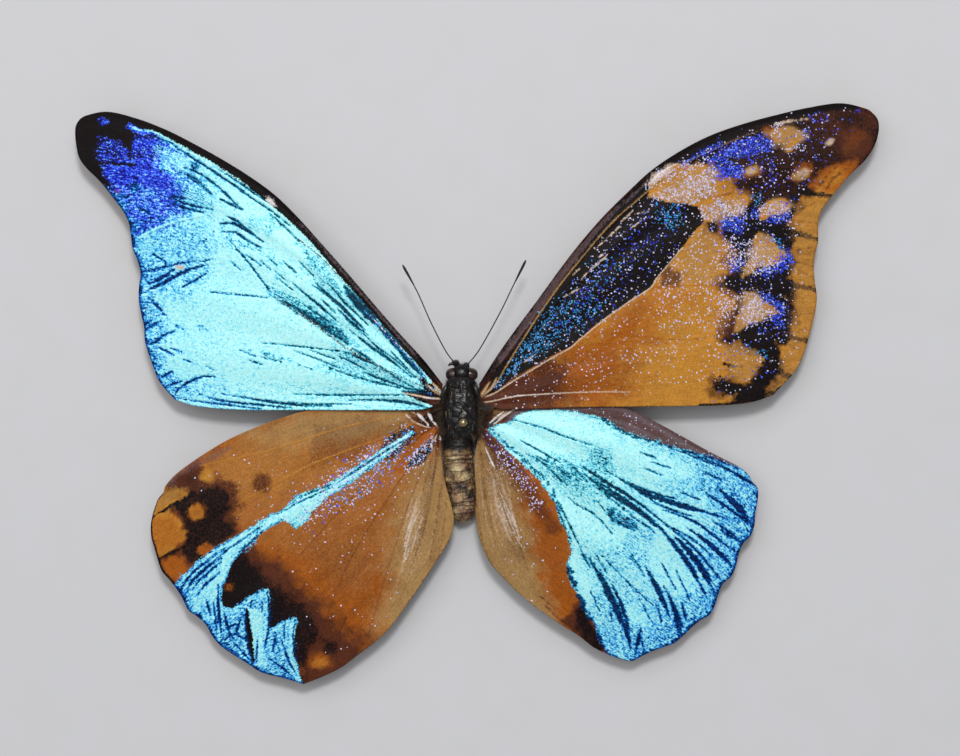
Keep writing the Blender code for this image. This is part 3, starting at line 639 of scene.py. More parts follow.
HINDWING_LEFT_MARKS: tuple[Mark, ...] = (
    *patches(P.TAN, "240,432 300,408 430,404 400,430 330,446 260,446", soft=14, strength=0.8, wander=6),
    *patches(P.OCHRE, "168,476 240,440 330,432 350,470 240,510 180,512", soft=24, strength=0.36, wander=8),
    *patches(P.TAN, "150,500 230,430 420,400 420,520 360,600 260,540", soft=20, strength=0.32, wander=8),
    *patches(P.UMBER, "300,520 400,480 400,560 340,620 280,560", soft=24, strength=0.14, wander=8),
    *patches(P.UMBER, "330,540 400,560 380,640 330,640 300,580", soft=24, strength=0.22, wander=8, streaky=0.5),
    *patches(P.TAN, "426,446 404,495 394,530 386,590 372,630 380,660 460,600 470,500 448,436", soft=22, strength=0.9,
        wander=6),
    *patches(P.CREAM, "408,500 420,490 426,540 412,580 400,560", soft=9, strength=0.3, streaky=0.5),
    # the dark corner and its lighter spots
    *patches(P.UMBER, "158,494 176,476 196,466 212,470 234,482 240,510 240,534 222,548 206,560 186,576 166,588 "
        "146,556 150,520", soft=7, strength=0.75, wander=5),
    *patches(P.SOOT, "183,496 196,489 208,486 220,487 229,495 231,508 226,516 237,521 238,531 232,538 215,548 200,559 "
        "190,568 180,552 172,554 160,564 156,558 168,550 184,542 186,532 180,518 174,508 152,518 150,514 170,503",
        soft=4, strength=0.78, wander=4.5),
    *patches(P.OCHRE, "197,512,8,7.5; 150,518 168,511 176,515 184,530 185,540 172,549 158,558 146,556 143,530",
        soft=2.4, strength=0.95, wander=2.5),
    *patches(P.RUST, "150,517 176,514 184,540 160,556 146,540; 197,512,8,7", soft=6, strength=0.6),
    *patches(P.OCHRE, "150,518 153,504 158,495 165,488 174,486 186,489 188,496 174,506 160,514", soft=4, strength=0.62,
        wander=3),
    *patches(P.TAN, "153,508 160,495 172,487 184,490 172,502 156,510", soft=5, strength=0.32, wander=3),
    *patches(P.RUST, "160,560 172,556 183,558 186,568 180,577 168,580; 205,551,8,6.5; 232,592,6,5", soft=3,
        strength=0.92, wander=3),
    *patches(P.UMBER, "168,484 184,473 202,466 199,480 198,492 193,497 187,488 178,484", soft=4, strength=0.6,
        wander=3),
    *patches(P.SOOT, "178,479 188,473 200,470 197,484 194,494 188,484", soft=5, strength=0.34, wander=3),
    *patches(P.OCHRE, "207,476,6,6.5", soft=4, strength=0.85, wander=2),
    *patches(P.MAUVE, "164,484 180,468 200,457 232,444 234,450 206,464 186,474 170,487", soft=3, strength=0.4,
        wander=2),
    *streaks(P.SOOT, 2.6, "148,519 162,511 184,497; 152,566 164,556 184,547", strength=0.85, waver=1.0),
    *streaks(P.SOOT, 6.0, "194,494 184,500 172,506 160,513", strength=0.8, waver=1.5),
    # black-brown beside the blue
    *patches(P.UMBER, "236,540 262,548 284,566 306,588 330,612 352,636 372,652 340,688 296,694 270,660 220,640 "
        "206,576", soft=12, strength=0.9, wander=6),
    *patches(P.SOOT, "230,544 247,553 256,562 264,573 274,584 286,593 300,602 313,611 320,626 318,640 308,652 303,690 "
        "284,690 200,640 200,590 214,566", soft=8, strength=0.78, wander=4),
    *patches(P.SOOT, "236,562 248,566 262,582 280,602 296,622 292,640 276,644 262,610 240,626 216,624 222,590", soft=6,
        strength=0.5, wander=4),
    *patches(P.RUST, "229,588,3.4,4,60; 384,632,9,6; 303,671,3,6", soft=4, strength=0.42, wander=3),
    *patches(P.RUST, "320,661,10,8", soft=6, strength=0.75, wander=3),
    *patches(P.OCHRE, "320,662,7,5; 330,676,8,3,-20", soft=5, strength=0.45, wander=2),
    *patches(P.SOOT, "331,648,9,9", soft=6, strength=0.75, wander=3),
    *patches(P.UMBER, "334,632 372,628 376,646 350,664 340,650", soft=8, strength=0.45, wander=4),
    *streaks(P.UMBER, 2.0, "322,622 317,642 308,672; 300,664 306,680; 346,618 338,636", strength=0.55, waver=1),
    *patches(P.UMBER, "262,483,9.5,10", soft=4, strength=0.6, wander=1),
    *patches(P.UMBER, "316,428 360,416 402,422 352,462 302,470", soft=5, strength=0.3, wander=4),
    # pale streaks of painted highlight, the sheen along the inner membrane's folds
    *streaks(P.CREAM, 2.4, "428,478 414,512 406,552; 420,500 409,536 402,574; 434,470 424,504 418,540; 410,540 "
        "398,580 392,606; 426,520 416,556 404,590; 414,490 404,530; 438,452 432,480 428,500; 440,500 432,540 424,566",
        strength=0.28, start_width=0.6, lift=0.05, waver=0.6),
    *streaks(P.PAINTED_HIGHLIGHT, 1.3, "421,509 413,524 408,540 404,556; 415,508 408,530 404,548; 424,514 416,536 411,552; "
        "410,546 404,566", strength=0.5, start_width=0.6, waver=0.3),
    # darker strips and grooves beside the body: painted shade in the membrane's folds
    *patches(P.UMBER, "430,452 436,450 430,500 418,560 412,560 422,500; 440,460 444,470 440,540 430,590 426,590 "
        "436,520", soft=4, strength=0.2, wander=2),
    *streaks(P.UMBER, 2.0, "440,450 430,490 424,530; 444,470 438,510 430,560; 446,500 442,540 430,590; 434,452 "
        "420,500", strength=0.3, lift=-0.05, waver=1.0),
    # the root
    *patches(P.UMBER, "402,406 448,396 452,450 444,474 436,452 430,436 412,426", soft=6, strength=0.7, wander=5,
        streaky=0.3),
    *patches(P.SOOT, "418,418 428,413 448,408 452,444 441,442 436,428 424,426; 430,434 437,439 432,452 418,466 "
        "405,468 412,452", soft=2.6, strength=0.8, wander=2.5),
    *patches(P.SOOT, "392,430 413,426 417,434 405,450 390,458 374,462", soft=4, strength=0.7, wander=3),
    *patches(P.RUST, "440,425 431,428 416,440 404,455 392,470 400,474 411,459 424,446 440,433", soft=2, strength=0.95,
        wander=1.5),
    *streaks(P.UMBER, 1.4, "438,432 424,446 411,460; 432,427 418,438 406,452", strength=0.6, waver=0.6),
    # painted highlights on the glossy root membrane and its vein
    *streaks(P.PAINTED_HIGHLIGHT, 3.0, "417.6,413.6 420.5,416.4 423.6,419.8; 428.2,412 430,416 431.8,420", start_width=1.4,
        end_width=2.2, strength=1.0, lift=0.14),
    *streaks(P.PAINTED_HIGHLIGHT, 1.8, "406,414.6 408,416.4 409.8,417.8; 427.6,423.6 428.4,426; 433,422 435,423.5 437.4,426.6; "
        "431,444 432.2,448.8; 440,436 441,440", start_width=1.0, end_width=1.0, lift=0.1),
    *streaks(P.CREAM, 1.3, "406.5,415.5 412,420.4 417.8,423.6 426,426.8 430.7,427.6; 434,434 432.5,440 431.4,447; "
        "437,434 434.6,441; 424,420 428,424; 411,411 416,414", start_width=0.8, strength=0.9, lift=0.08),
    # veins
    *streaks(P.OCHRE, 1.8, "416,422 385,437 340,453 300,470 236,505; 414,412 340,428 270,450 200,466", strength=0.55,
        start_width=1.0, lift=VEIN_LIFT),
    *streaks(P.UMBER, 1.8, "438,430 400,480 350,560 318,640; 438,436 410,500 366,640; 420,432 340,510 262,600; "
        "438,440 426,520 398,606", strength=0.35, lift=VEIN_LIFT),
    # the blue streak
    *glints(Glint.ULTRAMARINE, 0.08, "404,424 330,466 290,490 310,528 350,510 392,482 414,440", soft=8),
    *glints(Glint.TEAL, 0.26, "408,426 340,470 318,500 350,504 392,474 414,436", soft=6),
    *glints(Glint.WHITE, 0.36, "330,472 404,426 414,434 398,462 350,508 300,524", soft=6),
    *glints(Glint.WHITE, 0.75, "431,435 436,440 432,451 416,466 402,476 412,453", soft=2.4, wander=2),
    *glints(Glint.TEAL, 0.3, "431,435 436,440 432,451 416,466 406,468 412,453; 394,430 412,427 415,434 404,450 "
        "384,460", soft=2.4, wander=2),
    *glints(Glint.WHITE, 0.05, "260,500 436,408 440,460 380,540 290,540", soft=14),
    *glints(Glint.WHITE, 0.012, "180,470 436,408 440,460 400,620 330,660 290,580"),
    *patches(P.AZURE, HINDWING_LEFT_BLUE, soft=1.3, strength=0.98, wander=1.2),
    *patches(P.CYAN, HINDWING_LEFT_BLUE, soft=1.5, strength=0.92, wander=1.3, inset=1.5),
    *patches(P.AZURE, "238,604 262,590 271,590 270,614 252,614 240,616; 220,612 244,612 246,650 232,660 206,640; "
        "264,632 290,620 294,660 300,684 268,676; 176,586 200,560 214,566 190,596", soft=5, strength=0.4, wander=5),
    *patches(P.NAVY, "190,600 222,604 266,596 296,622 304,694 250,680", soft=6, strength=0.14, wander=8, streaky=0.5),
    *patches(P.AZURE, "236,552 250,530 262,524 258,540 244,552; 298,499,7,3,-20; 297,517,7,3,-35; 260,524,3,2", soft=3,
        strength=0.5, wander=4),
    *patches(P.CYAN, "250,608 262,612 263,640 260,664 254,664 252,640", soft=2, strength=0.9, wander=1),
    *patches(P.CYAN, "292,622 296,622 292,650 300,680 292,676 287,650", soft=2, strength=0.8, wander=1),
    # folds, with painted navy shade
    *streaks(P.NAVY, 6, "246,610 246.5,628 249,645 252.5,663", start_width=2, end_width=3, strength=0.97,
        lift=CREASE_DEPTH, waver=1.2),
    *creases(3.2, "184,602 187,590 193,580 203,571 213,563 224,556; 218,584 218,606 221,636; 232,642 240,650 250,662"),
    *creases(2.4, "190,592 198,582 209,572 221,562; 179,592 188,578 198,568 211,559; 213,602 215,616 216,634; 196,596 "
        "206,584 220,572; 257,642 256,662; 224,612 228,630 234,640; 268,632 264,650; 276,634 272,652; 206,600 "
        "210,616; 238,636 246,640; 282,642 288,660 296,676; 270,660 284,670 296,682; 226,648 236,654; 240,620 236,634"),
    *creases(1.6, "200,572 230,548 262,526; 240,552 262,532; 300,497 330,485; 178,598 182,588; 278,514 300,502 "
        "330,488; 336,484 390,448; 284,624 284,640; 262,600 262,612; 252,600 250,608; 274,640 280,652; 208,560 "
        "226,548; 350,474 404,440"),
    # the black slash in the blue corner and the bright band beside it
    *streaks(P.CYAN, 9, "255,612 256.5,630 258,648 258,661", start_width=6, end_width=3),
    *streaks(P.SOOT, 5, "247,609 248.4,627 251.3,648 253.5,662", start_width=2, end_width=2.4, waver=0.8),
    # folds, with painted navy shade
    *creases(1.6, "257.4,640 256.6,651 256,663; 267,590 269,606 269,622 266,640; 295,620 293,640 296,660"),
    *creases(2.2, "220,642 230,636 240,634; 222,632 232,626 242,624"),
)

HINDWING_RIGHT_BLUE: Path = traced(
    "489,428 500,423 510,421 516,415 525,411.5 540,409 575,410 600,417 612,423.5 625,432 640,438 655,441 670,446 "
    "690,451 710,457 730,465 744,470 775,490 770,540 740,590 690,650 640,680 616,668 606,650 600,636 590,618 583,607 "
    "574,590 568,574 568,563 571,552 568,537 562,525 554,502 548,492 540,481 530,471 520,462 510,453 500,443 490,433")

HINDWING_RIGHT_MARKS: tuple[Mark, ...] = (
    *patches(P.MAUVE, "490,400 600,400 650,410 710,440 752,470 742,474 700,462 640,446 600,428 540,418 496,424",
        soft=4, strength=0.95, wander=2),
    *patches(P.UMBER, "560,400 620,402 690,430 752,468 742,474 690,452 640,444 600,428", soft=4, strength=0.5,
        wander=4, streaky=0.8),
    *patches(P.UMBER, "500,446 548,500 572,560 586,610 560,620 520,560", soft=16, strength=0.25),
    *patches(P.TAN, "482,430 508,464 527,518 540,580 560,622 520,616 466,540 456,440", soft=16, strength=1.0, wander=6),
    *patches(P.UMBER, "478,430 506,464 524,518 536,590 500,590 466,530 460,440", soft=14, strength=0.2, wander=6),
    *patches(P.MAUVE, "480,430 500,460 512,510 516,560 490,560 470,520 464,440", soft=14, strength=0.14, wander=6),
    *patches(P.UMBER, "484,440 496,452 512,500 524,560 514,560 500,510 486,470", soft=6, strength=0.26, wander=4,
        streaky=0.3),
    *patches(P.CREAM, "488,452 500,470 514,520 514,556 500,530 488,490", soft=8, strength=0.32, streaky=0.5),
    # pale streaks of painted highlight, the sheen along the inner membrane's folds
    *streaks(P.CREAM, 2.2, "497,462 504,490 516,526; 506,478 512,510 522,548; 492,474 498,510 510,540; 488,490 "
        "496,530 512,566; 500,506 506,530; 512,516 519,536; 480,470 484,510 494,548", strength=0.28, start_width=0.6,
        lift=0.06, waver=0.6),
    *streaks(P.PAINTED_HIGHLIGHT, 1.3, "493,477 500,492 507,507 513,522 520,540; 502,500 509,518 516,536 524,550; 498,498 506,520 "
        "512,536; 511,512 517,528", strength=0.5, start_width=0.6, waver=0.3),
    *patches(P.UMBER, "470,398 524,400 516,412 500,424 490,436 478,440", soft=3, strength=0.9, wander=3),
    *patches(P.SOOT, "466,396 488,400 490,420 487,434 476,442 466,440", soft=4, strength=0.6, wander=3),
    *patches(P.TAN, "492,412 502,406 516,403 510,412 496,422", soft=3, strength=0.45, wander=3, streaky=0.4),
    *streaks(P.NAVY, 2.0, "488,426 498,420 512,413.5; 489,424 496,417", start_width=1.0, strength=0.9),
    # painted highlights on the glossy root membrane
    *streaks(P.PAINTED_HIGHLIGHT, 1.6, "490,422.5 497,416.5 503.5,411.5; 494,424 504,416 515,408.5", start_width=0.8,
        end_width=0.8, strength=0.95, lift=0.1),
    *streaks(P.CREAM, 1.2, "498,419 507,411.5; 503,417.5 512,411; 486,429 492,434; 480,432 484,438", start_width=0.8,
        strength=0.9, lift=0.08),
    *streaks(P.PAINTED_HIGHLIGHT, 1.7, "485.5,447.5 489,456 494.4,467", start_width=0.9, end_width=1.5, lift=0.12),
    *patches(P.SOOT, "484,432 492,436 506,451 516,464 508,470 496,458 486,444", soft=3, strength=0.55, wander=3),
    # darker grooves: painted shade in the membrane's folds
    *streaks(P.UMBER, 2.0, "478,440 484,480 484,520; 480,470 488,510 496,548; 476,500 482,540 500,582; 520,548 "
        "534,586", strength=0.3, lift=-0.05, waver=1.0),
    *patches(P.UMBER, "480,424 500,442 528,472 546,500 560,530 548,532 528,500 506,474 484,452", soft=6, strength=0.6,
        wander=4),
    *patches(P.UMBER, "562,622 574,606 580,598 594,618 610,654 594,652 572,640", soft=4, strength=0.85, wander=3),
    *patches(P.SOOT, "574,622 580,604 590,614 606,648 600,656 584,644", soft=4, strength=0.8, wander=3),
    *streaks(P.UMBER, 2.2, "546,606 558,618 572,628; 540,596 556,610", strength=0.5, waver=1.0),
    *glints(Glint.ULTRAMARINE, 0.14, "480,428 500,440 520,460 516,468 496,456", soft=5),
    *glints(Glint.ULTRAMARINE, 0.05, "490,432 516,450 548,482 562,520 548,516 516,480", soft=6),
    *glints(Glint.WHITE, 0.5, "486,434 516,462 530,478 542,508 532,512 518,486 496,462", soft=5),
    *glints(Glint.WHITE, 0.02, "480,430 560,520 560,600 520,600 490,500"),
    *glints(Glint.WHITE, 0.1, "540,402 640,412 740,466 650,434"),
    *patches(P.AZURE, HINDWING_RIGHT_BLUE, soft=1.3, strength=0.98, wander=1.4),
    *patches(P.CYAN, HINDWING_RIGHT_BLUE, soft=1.6, strength=0.95, wander=1.6, inset=1.6),
    # stippled with deeper blue
    *patches(P.AZURE, "590,450 608,450 611,470 592,469; 546,454 585,458 604,482 592,506 560,492 548,470; 716,468 "
        "757,482 757,530 742,548 720,520 706,490; 586,606 600,598 640,630 650,655 612,655; 648,600 712,590 716,615 "
        "680,645 650,640; 624,533 655,533 641,571 624,556; 658,478 702,478 696,500 662,492; 600,420 660,442 740,470 "
        "735,480 650,452 604,430", soft=6, strength=0.36, wander=6),
    *patches(P.AZURE, "560,460 610,476 664,512 650,524 600,506 560,484; 574,548 620,548 640,600 600,600; 690,512 "
        "740,520 744,552 730,572 704,552", soft=8, strength=0.3, wander=6, streaky=0.7),
    *patches(P.AZURE, "690,458 757,480 770,540 730,600 690,640 660,640 700,580 712,520; 600,630 650,630 700,620 "
        "680,680 616,670", soft=12, strength=0.42, wander=10),
    *patches(P.AZURE, "560,456 610,462 650,500 610,505 566,486; 575,540 640,545 664,600 610,620", soft=12,
        strength=0.26, wander=10, streaky=0.4),
    *patches(P.NAVY, "602,505 615,507 631,519 642,531 628,531 611,521", soft=2.5, strength=0.7, wander=3),
    *patches(P.UMBER, "625,521,5,2.4,30; 720,477,5,2.5", soft=2, strength=0.4, wander=2),
    *streaks(P.NAVY, 3, "602,419 625,433 655,442 690,452 720,461 746,472", strength=0.8, waver=2),
    *streaks(P.NAVY, 5.5, "568,568 580,598 597,632 607,651 620,660", strength=0.88, waver=3),
    *streaks(P.NAVY, 3.4, "493,431 503,441 513,450 523,458.5 533,467.5 543,477.5 553,491", start_width=2.4,
        end_width=2, strength=0.8, waver=2),
    *streaks(P.NAVY, 2.0, "553,492 561,508 569,524 575,539; 551,494 557,508 565,526 571,541", strength=0.8, waver=1.2),
    *patches(P.AZURE, "526,452 542,458 560,464 582,472 588,484 566,490 548,476 532,462; 584,449 600,448 612,456 "
        "616,470 604,472 590,462", soft=5, strength=0.62, wander=7, streaky=0.35),
    *patches(P.NAVY, "548,460 566,464 584,474 580,482 560,474; 590,452 602,451 610,460 600,464", soft=5, strength=0.24,
        wander=7, streaky=0.4),
    # folds, with painted navy shade
    *creases(6.8, "717,488 728,497 738,507 747,518 755,529; 673,535 687,549 698,563 707,577 713,590 715,602; 588,555 "
        "596,570 604,584 611,598 618,613 625,629 631,647"),
    *creases(5.6, "660,529 672,542 682,555 691,568 699,582 706,596; 645,566 654,582 661,596 667,609 671,621; 630,484 "
        "650,495 670,502 690,508 708,513 724,518"),
    *creases(4.3, "590,477 612,491 632,505 650,519 664,532 672,543; 686,527 704,540 718,552 729,563 737,574; 641,628 "
        "638,643 635,657; 611,583 618,597 624,612 628,628 630,649; 664,586 671,601 676,617 679,639"),
    *creases(3.0, "671,528 690,544 705,560 717,575 727,587; 663,510 684,517 700,525 713,535 726,545 740,554; 702,490 "
        "718,501 734,512 753,528; 733,473 746,480 757,486; 600,570 607,586 614,601 621,617 627,633; 720,530 735,539 "
        "746,547; 583,467 597,477 608,484 624,493 635,500.6 647,508; 585,475 601,487 616,497 628,504.5 643,516 "
        "655,526; 629,483 643,489 660,495 676,499; 672,600 678,614 681,628 679,642"),
    *creases(2.4, "582,466 600,477 616,488 636,501 652,513 664,523 677,534; 666,525 684,534 700,545 713,557; 598,488 "
        "620,501 640,513 657,527; 580,549 590,567; 682,604 687,623; 654,503 675,511 693,517; 690,622 697,635; 642,638 "
        "644,654; 700,536 716,548 729,561; 712,520 728,531 744,543"),
    *creases(2.0, "511,419.5 529,424 546,429 558,434 570,438 581,441.6 595,446.5; 527,454 541.6,462 552,471.5 562,481 "
        "568,485; 564,460 573.5,466.7 581,475.4 588,482; 593,485 608,497 620,506 635,518 645,526; 568,497 577,504.4 "
        "591,512 604,524 612,533.5; 643,467.7 653,471.6 662,475; 596,500 608,514 620,524 634,530", dark=0.85),
    *creases(1.7, "670,448 700,459 730,471 749,481; 690,453 722,466 750,482 758,489; 606,470 640,492 662,507; 620,478 "
        "652,498; 536,456 548,462; 556,466 570,478; 640,452 656,458; 652,462 670,468; 619,574 636,590 653,605; "
        "602,556 619,573; 595,553 607,573; 559,503 572,530 581,549; 660,560 676,590; 632,556 645,576; 676,570 "
        "690,600; 640,600 652,622; 700,470 722,480; 680,492 700,500; 640,520 656,534; 656,604 662,622; 520,440 "
        "560,462; 610,604 612,622; 590,590 600,612"),
)


class Nodes:
    """A node tree that is built one node at a time."""

    def __init__(self, tree: bpy.types.NodeTree) -> None:
        """Starts on a tree."""
        self.tree = tree

    def add(self, kind: str, inputs: dict | None = None, **settings: object) -> bpy.types.Node:
        """Adds a node.

        Args:
            kind: Blender's name for the node.
            inputs: Values, or the sockets to join, by input name or number.
            **settings: The node's own settings.

        Returns:
            The node.
        """
        node = self.tree.nodes.new(kind)
        for name, value in settings.items():
            setattr(node, name, value)
        for name, value in (inputs or {}).items():
            if isinstance(value, Socket):
                self.tree.links.new(value, node.inputs[name])
            else:
                node.inputs[name].default_value = value
        return node

    def calc(self, operation: str, *values: object, clamp: bool = False) -> Socket:
        """Adds a sum of numbers.

        Args:
            operation: The kind of sum.
            *values: Its values or sockets.
            clamp: Whether the result is kept between 0 and 1.

        Returns:
            The result's socket.
        """
        node = self.add("ShaderNodeMath", dict(enumerate(values)), operation=operation, use_clamp=clamp)
        return node.outputs[0]

    def vector(self, operation: str, *values: object) -> Socket:
        """Adds a sum of vectors, and gives its result's socket."""
        return self.add("ShaderNodeVectorMath", dict(enumerate(values)), operation=operation).outputs[0]

    def scaled(self, vector: object, amount: object) -> Socket:
        """Scales a vector or a colour by a number, and gives its result's socket."""
        return self.add("ShaderNodeVectorMath", {0: vector, "Scale": amount}, operation="SCALE").outputs[0]


class Finish(Nodes):
    """A surface finish: a material of a shader and what drives it."""

    name = "finish"

    def __init__(self) -> None:
        """Makes an empty material with its shader."""
        self.material = bpy.data.materials.new(self.name)
        self.material.use_nodes = True
        super().__init__(self.material.node_tree)
        self.shader = self.tree.nodes["Principled BSDF"]

    def join(self, socket: Socket, name: str) -> None:
        """Joins a socket to an input of the shader."""
        self.tree.links.new(socket, self.shader.inputs[name])

    def attribute(self, name: str) -> Socket:
        """Reads a number that the mesh keeps at its points."""
        return self.add("ShaderNodeAttribute", attribute_name=name).outputs["Fac"]

    def cells(self, place: Socket, size: float) -> bpy.types.Node:
        """Parts the surface into random cells of a size."""
        return self.add("ShaderNodeTexVoronoi", {"Vector": place, "Scale": 1 / size})

    def bump(self, height: Socket, distance: float, strength: float, **settings: object) -> None:
        """Presses a relief into the surface.

        Args:
            height: The socket of the relief.
            distance: How deep it is.
            strength: How strongly it shows.
            **settings: The node's own settings.
        """
        node = self.add("ShaderNodeBump", {"Height": height, "Distance": distance, "Strength": strength}, **settings)
        self.join(node.outputs[0], "Normal")

    def mix(self, share: object, low: object, high: object) -> Socket:
        """Mixes two colours.

        Args:
            share: How much of the second, as a value or a socket.
            low: The first colour or socket.
            high: The second.

        Returns:
            The result's socket.
        """
        first, second = ((*colour, 1.0) if isinstance(colour, tuple) else colour for colour in (low, high))
        return self.add("ShaderNodeMix", {0: share, 6: first, 7: second}, data_type="RGBA").outputs[2]

    def spread(self, value: Socket, low: float, high: float, to_low: float = 0.0, to_high: float = 1.0) -> Socket:
        """Maps a range of values to another, held at its ends.

        Args:
            value: The socket to map.
            low: Where the range starts.
            high: Where it ends.
            to_low: What its start becomes.
            to_high: What its end becomes.

        Returns:
            The result's socket.
        """
        return self.add("ShaderNodeMapRange", {0: value, 1: low, 2: high, 3: to_low, 4: to_high}).outputs[0]

    def ramp(self, value: Socket, stops: Sequence[tuple[float, Colour]]) -> Socket:
        """Reads a colour from a scale of colours.

        Args:
            value: Where on the scale.
            stops: Places on it and their colours.

        Returns:
            The colour's socket.
        """
        node = self.add("ShaderNodeValToRGB", {0: value})
        elements = node.color_ramp.elements
        while len(elements) < len(stops):
            elements.new(0.5)
        for element, (place, colour) in zip(elements, stops):
            element.position = place
            element.color = (*colour, 1.0)
        return node.outputs[0]

    def object_place(self) -> Socket:
        """The surface point in the object's own coordinates, in metres."""
        return self.add("ShaderNodeTexCoord").outputs["Object"]

    def noise(self, place: object, size: float, detail: float = 2.0, rough: float = 0.5) -> Socket:
        """Adds cloudy noise.

        Args:
            place: The socket of the place.
            size: The clouds' size, in the place's unit.
            detail: How many finer layers it has.
            rough: How strong they are.

        Returns:
            The socket of its value.
        """
        return self.add("ShaderNodeTexNoise", {"Vector": place, "Scale": 1 / size, "Detail": detail,
                                               "Roughness": rough}).outputs["Fac"]


class WingScales(Finish):
    """The wings: smooth brown grounds, and blue scales and scattered flashes that differ scale by scale."""

    name = "wing_scales"
    scale_size = 0.2 * MM
    speck_size = 0.34 * MM
    clump_size = 1.1 * MM
    glint_size = 0.27 * MM
    grain = {P.RUST: 4.0, P.OCHRE: 4.0, P.TAN: 4.0, P.CREAM: 2.4, P.MAUVE: 3.0, P.PAINTED_HIGHLIGHT: 3.0, P.SOOT: 1.2}
    teal_stops = ((0.0, srgb(4, 34, 52)), (0.15, srgb(8, 78, 106)), (0.35, srgb(42, 160, 190)),
                  (0.55, srgb(112, 220, 240)), (0.75, srgb(160, 241, 248)), (0.9, srgb(183, 251, 253)),
                  (1.0, srgb(195, 254, 255)))
    royal_stops = ((0.0, srgb(0, 20, 64)), (0.15, srgb(0, 48, 118)), (0.35, srgb(14, 112, 204)),
                   (0.55, srgb(78, 186, 248)), (0.75, srgb(132, 226, 252)), (0.9, srgb(168, 249, 254)),
                   (1.0, srgb(188, 254, 255)))
    violet_stops = ((0.0, srgb(16, 12, 56)), (0.2, srgb(26, 26, 150)), (0.4, srgb(36, 54, 236)),
                    (0.6, srgb(64, 104, 255)), (0.8, srgb(104, 160, 254)), (1.0, srgb(163, 228, 253)))
    glint_colours = {Glint.WHITE: srgb(236, 226, 254), Glint.ULTRAMARINE: srgb(54, 76, 255),
                     Glint.TEAL: srgb(48, 162, 234)}

    def __init__(self) -> None:
        """Lays the grounds, the blue scales and the flashes."""
        super().__init__()
        place = self.object_place()
        cells = self.cells(place, self.scale_size)
        chances = self.add("ShaderNodeSeparateColor", {0: cells.outputs["Color"]}).outputs
        along = self.add("ShaderNodeAttribute", attribute_name="along_veins").outputs["Vector"]
        lines = self.noise(along, 1.0, 3.0, 0.6)
        ground = self.scaled(self.ground(chances[0]), self.shade(place, chances[1], lines))
        share = self.dithered("blue", chances[2], 0.3)
        colour = self.mix(share, ground, self.blue(place, chances, lines, along))
        flash, flash_share = self.flashes(place)
        self.join(self.mix(flash_share, colour, flash), "Base Color")
        self.join(self.calc("MULTIPLY", share, 0.14), "Metallic")
        self.shader.inputs["Roughness"].default_value = 0.46
        self.shader.inputs["Specular IOR Level"].default_value = 0.08
        self.tilt_scales(cells.outputs["Color"], share)

    def dithered(self, layer: str, chance: Socket, grain: float) -> Socket:
        """Turns a smooth share into one that differs scale by scale.

        Args:
            layer: The attribute of the share.
            chance: The scale's own random number.
            grain: How gradual it is: 0.3 is nearly all or nothing, and 4 is nearly smooth.

        Returns:
            The share's socket.
        """
        wide = self.calc("MULTIPLY", self.attribute(layer), (1 + grain) / grain)
        return self.calc("SUBTRACT", wide, self.calc("MULTIPLY", chance, 1 / grain), clamp=True)

    def ground(self, chance: Socket) -> Socket:
        """The plain pigments, blended almost smoothly.

        Args:
            chance: The scale's own random number.

        Returns:
            The socket of their colour.
        """
        kinds = list(PLAIN)
        colour: object = PLAIN[kinds[0]]
        for kind in kinds[1:]:
            colour = self.mix(self.dithered(f"cover_{kind.value}", chance, self.grain[kind]), colour, PLAIN[kind])
        return colour

    def shade(self, place: Socket, chance: Socket,
              lines: Socket) -> Socket:
        """How light each point of the ground is: by scale, by fine lines and by clouds.

        Args:
            place: The surface point.
            chance: The scale's own random number.
            lines: Fine lines along the veins.

        Returns:
            The lightness's socket.
        """
        grain = self.spread(chance, 0.0, 1.0, 0.86, 1.14)
        strokes = self.spread(lines, 0.3, 0.7, 0.86, 1.12)
        clouds = self.spread(self.noise(place, 3.5 * MM, 3.0), 0.3, 0.7, 0.9, 1.08)
        return self.calc("MULTIPLY", self.calc("MULTIPLY", grain, strokes), clouds)

    def blue(self, place: Socket, chances: Sequence[Socket],
             lines: Socket, along: Socket) -> Socket:
        """The blue scales: pale cyan, with specks of teal near the root and of royal blue near the margin.

        Args:
            place: The surface point.
            chances: The scale's random numbers.
            lines: Fine lines along the veins.
            along: The place by the veins, in strokes: from the root outwards, then across the veins.

        Returns:
            The socket of their colour.
        """
        shine = self.attribute("shine")
        outwards = self.add("ShaderNodeSeparateXYZ", {0: along}).outputs[0]
        specks = self.spread(self.noise(place, self.speck_size, 1.0), 0.32, 0.68, -0.18, 0.18)
        dashes = self.noise(self.vector("MULTIPLY", along, (5.0, 1.0, 1.0)), 1.0, 1.0)
        specks = self.calc("ADD", specks, self.spread(dashes, 0.32, 0.68, -0.24, 0.24))
        specks = self.calc("ADD", specks, self.spread(self.noise(place, self.clump_size), 0.3, 0.7, -0.12, 0.12))
        specks = self.calc("ADD", specks, self.spread(chances[0], 0.0, 1.0, -0.14, 0.14))
        middling = self.calc("MULTIPLY", shine, self.calc("SUBTRACT", 1.0, shine))
        swing = self.calc("MULTIPLY_ADD", middling, 4.4, 0.18)
        value = self.calc("MULTIPLY_ADD", specks, swing, shine)
        value = self.calc("ADD", value, self.spread(lines, 0.35, 0.65, -0.03, 0.03))
        value = self.calc("SUBTRACT", value, self.calc("MULTIPLY", self.calc("GREATER_THAN", chances[1], 0.955), 0.34))
        colour = self.mix(self.spread(outwards, 8.5, 14.5), self.ramp(value, self.teal_stops),
                          self.ramp(value, self.royal_stops))
        return self.mix(self.dithered("violet", chances[1], 0.6), colour, self.ramp(value, self.violet_stops))

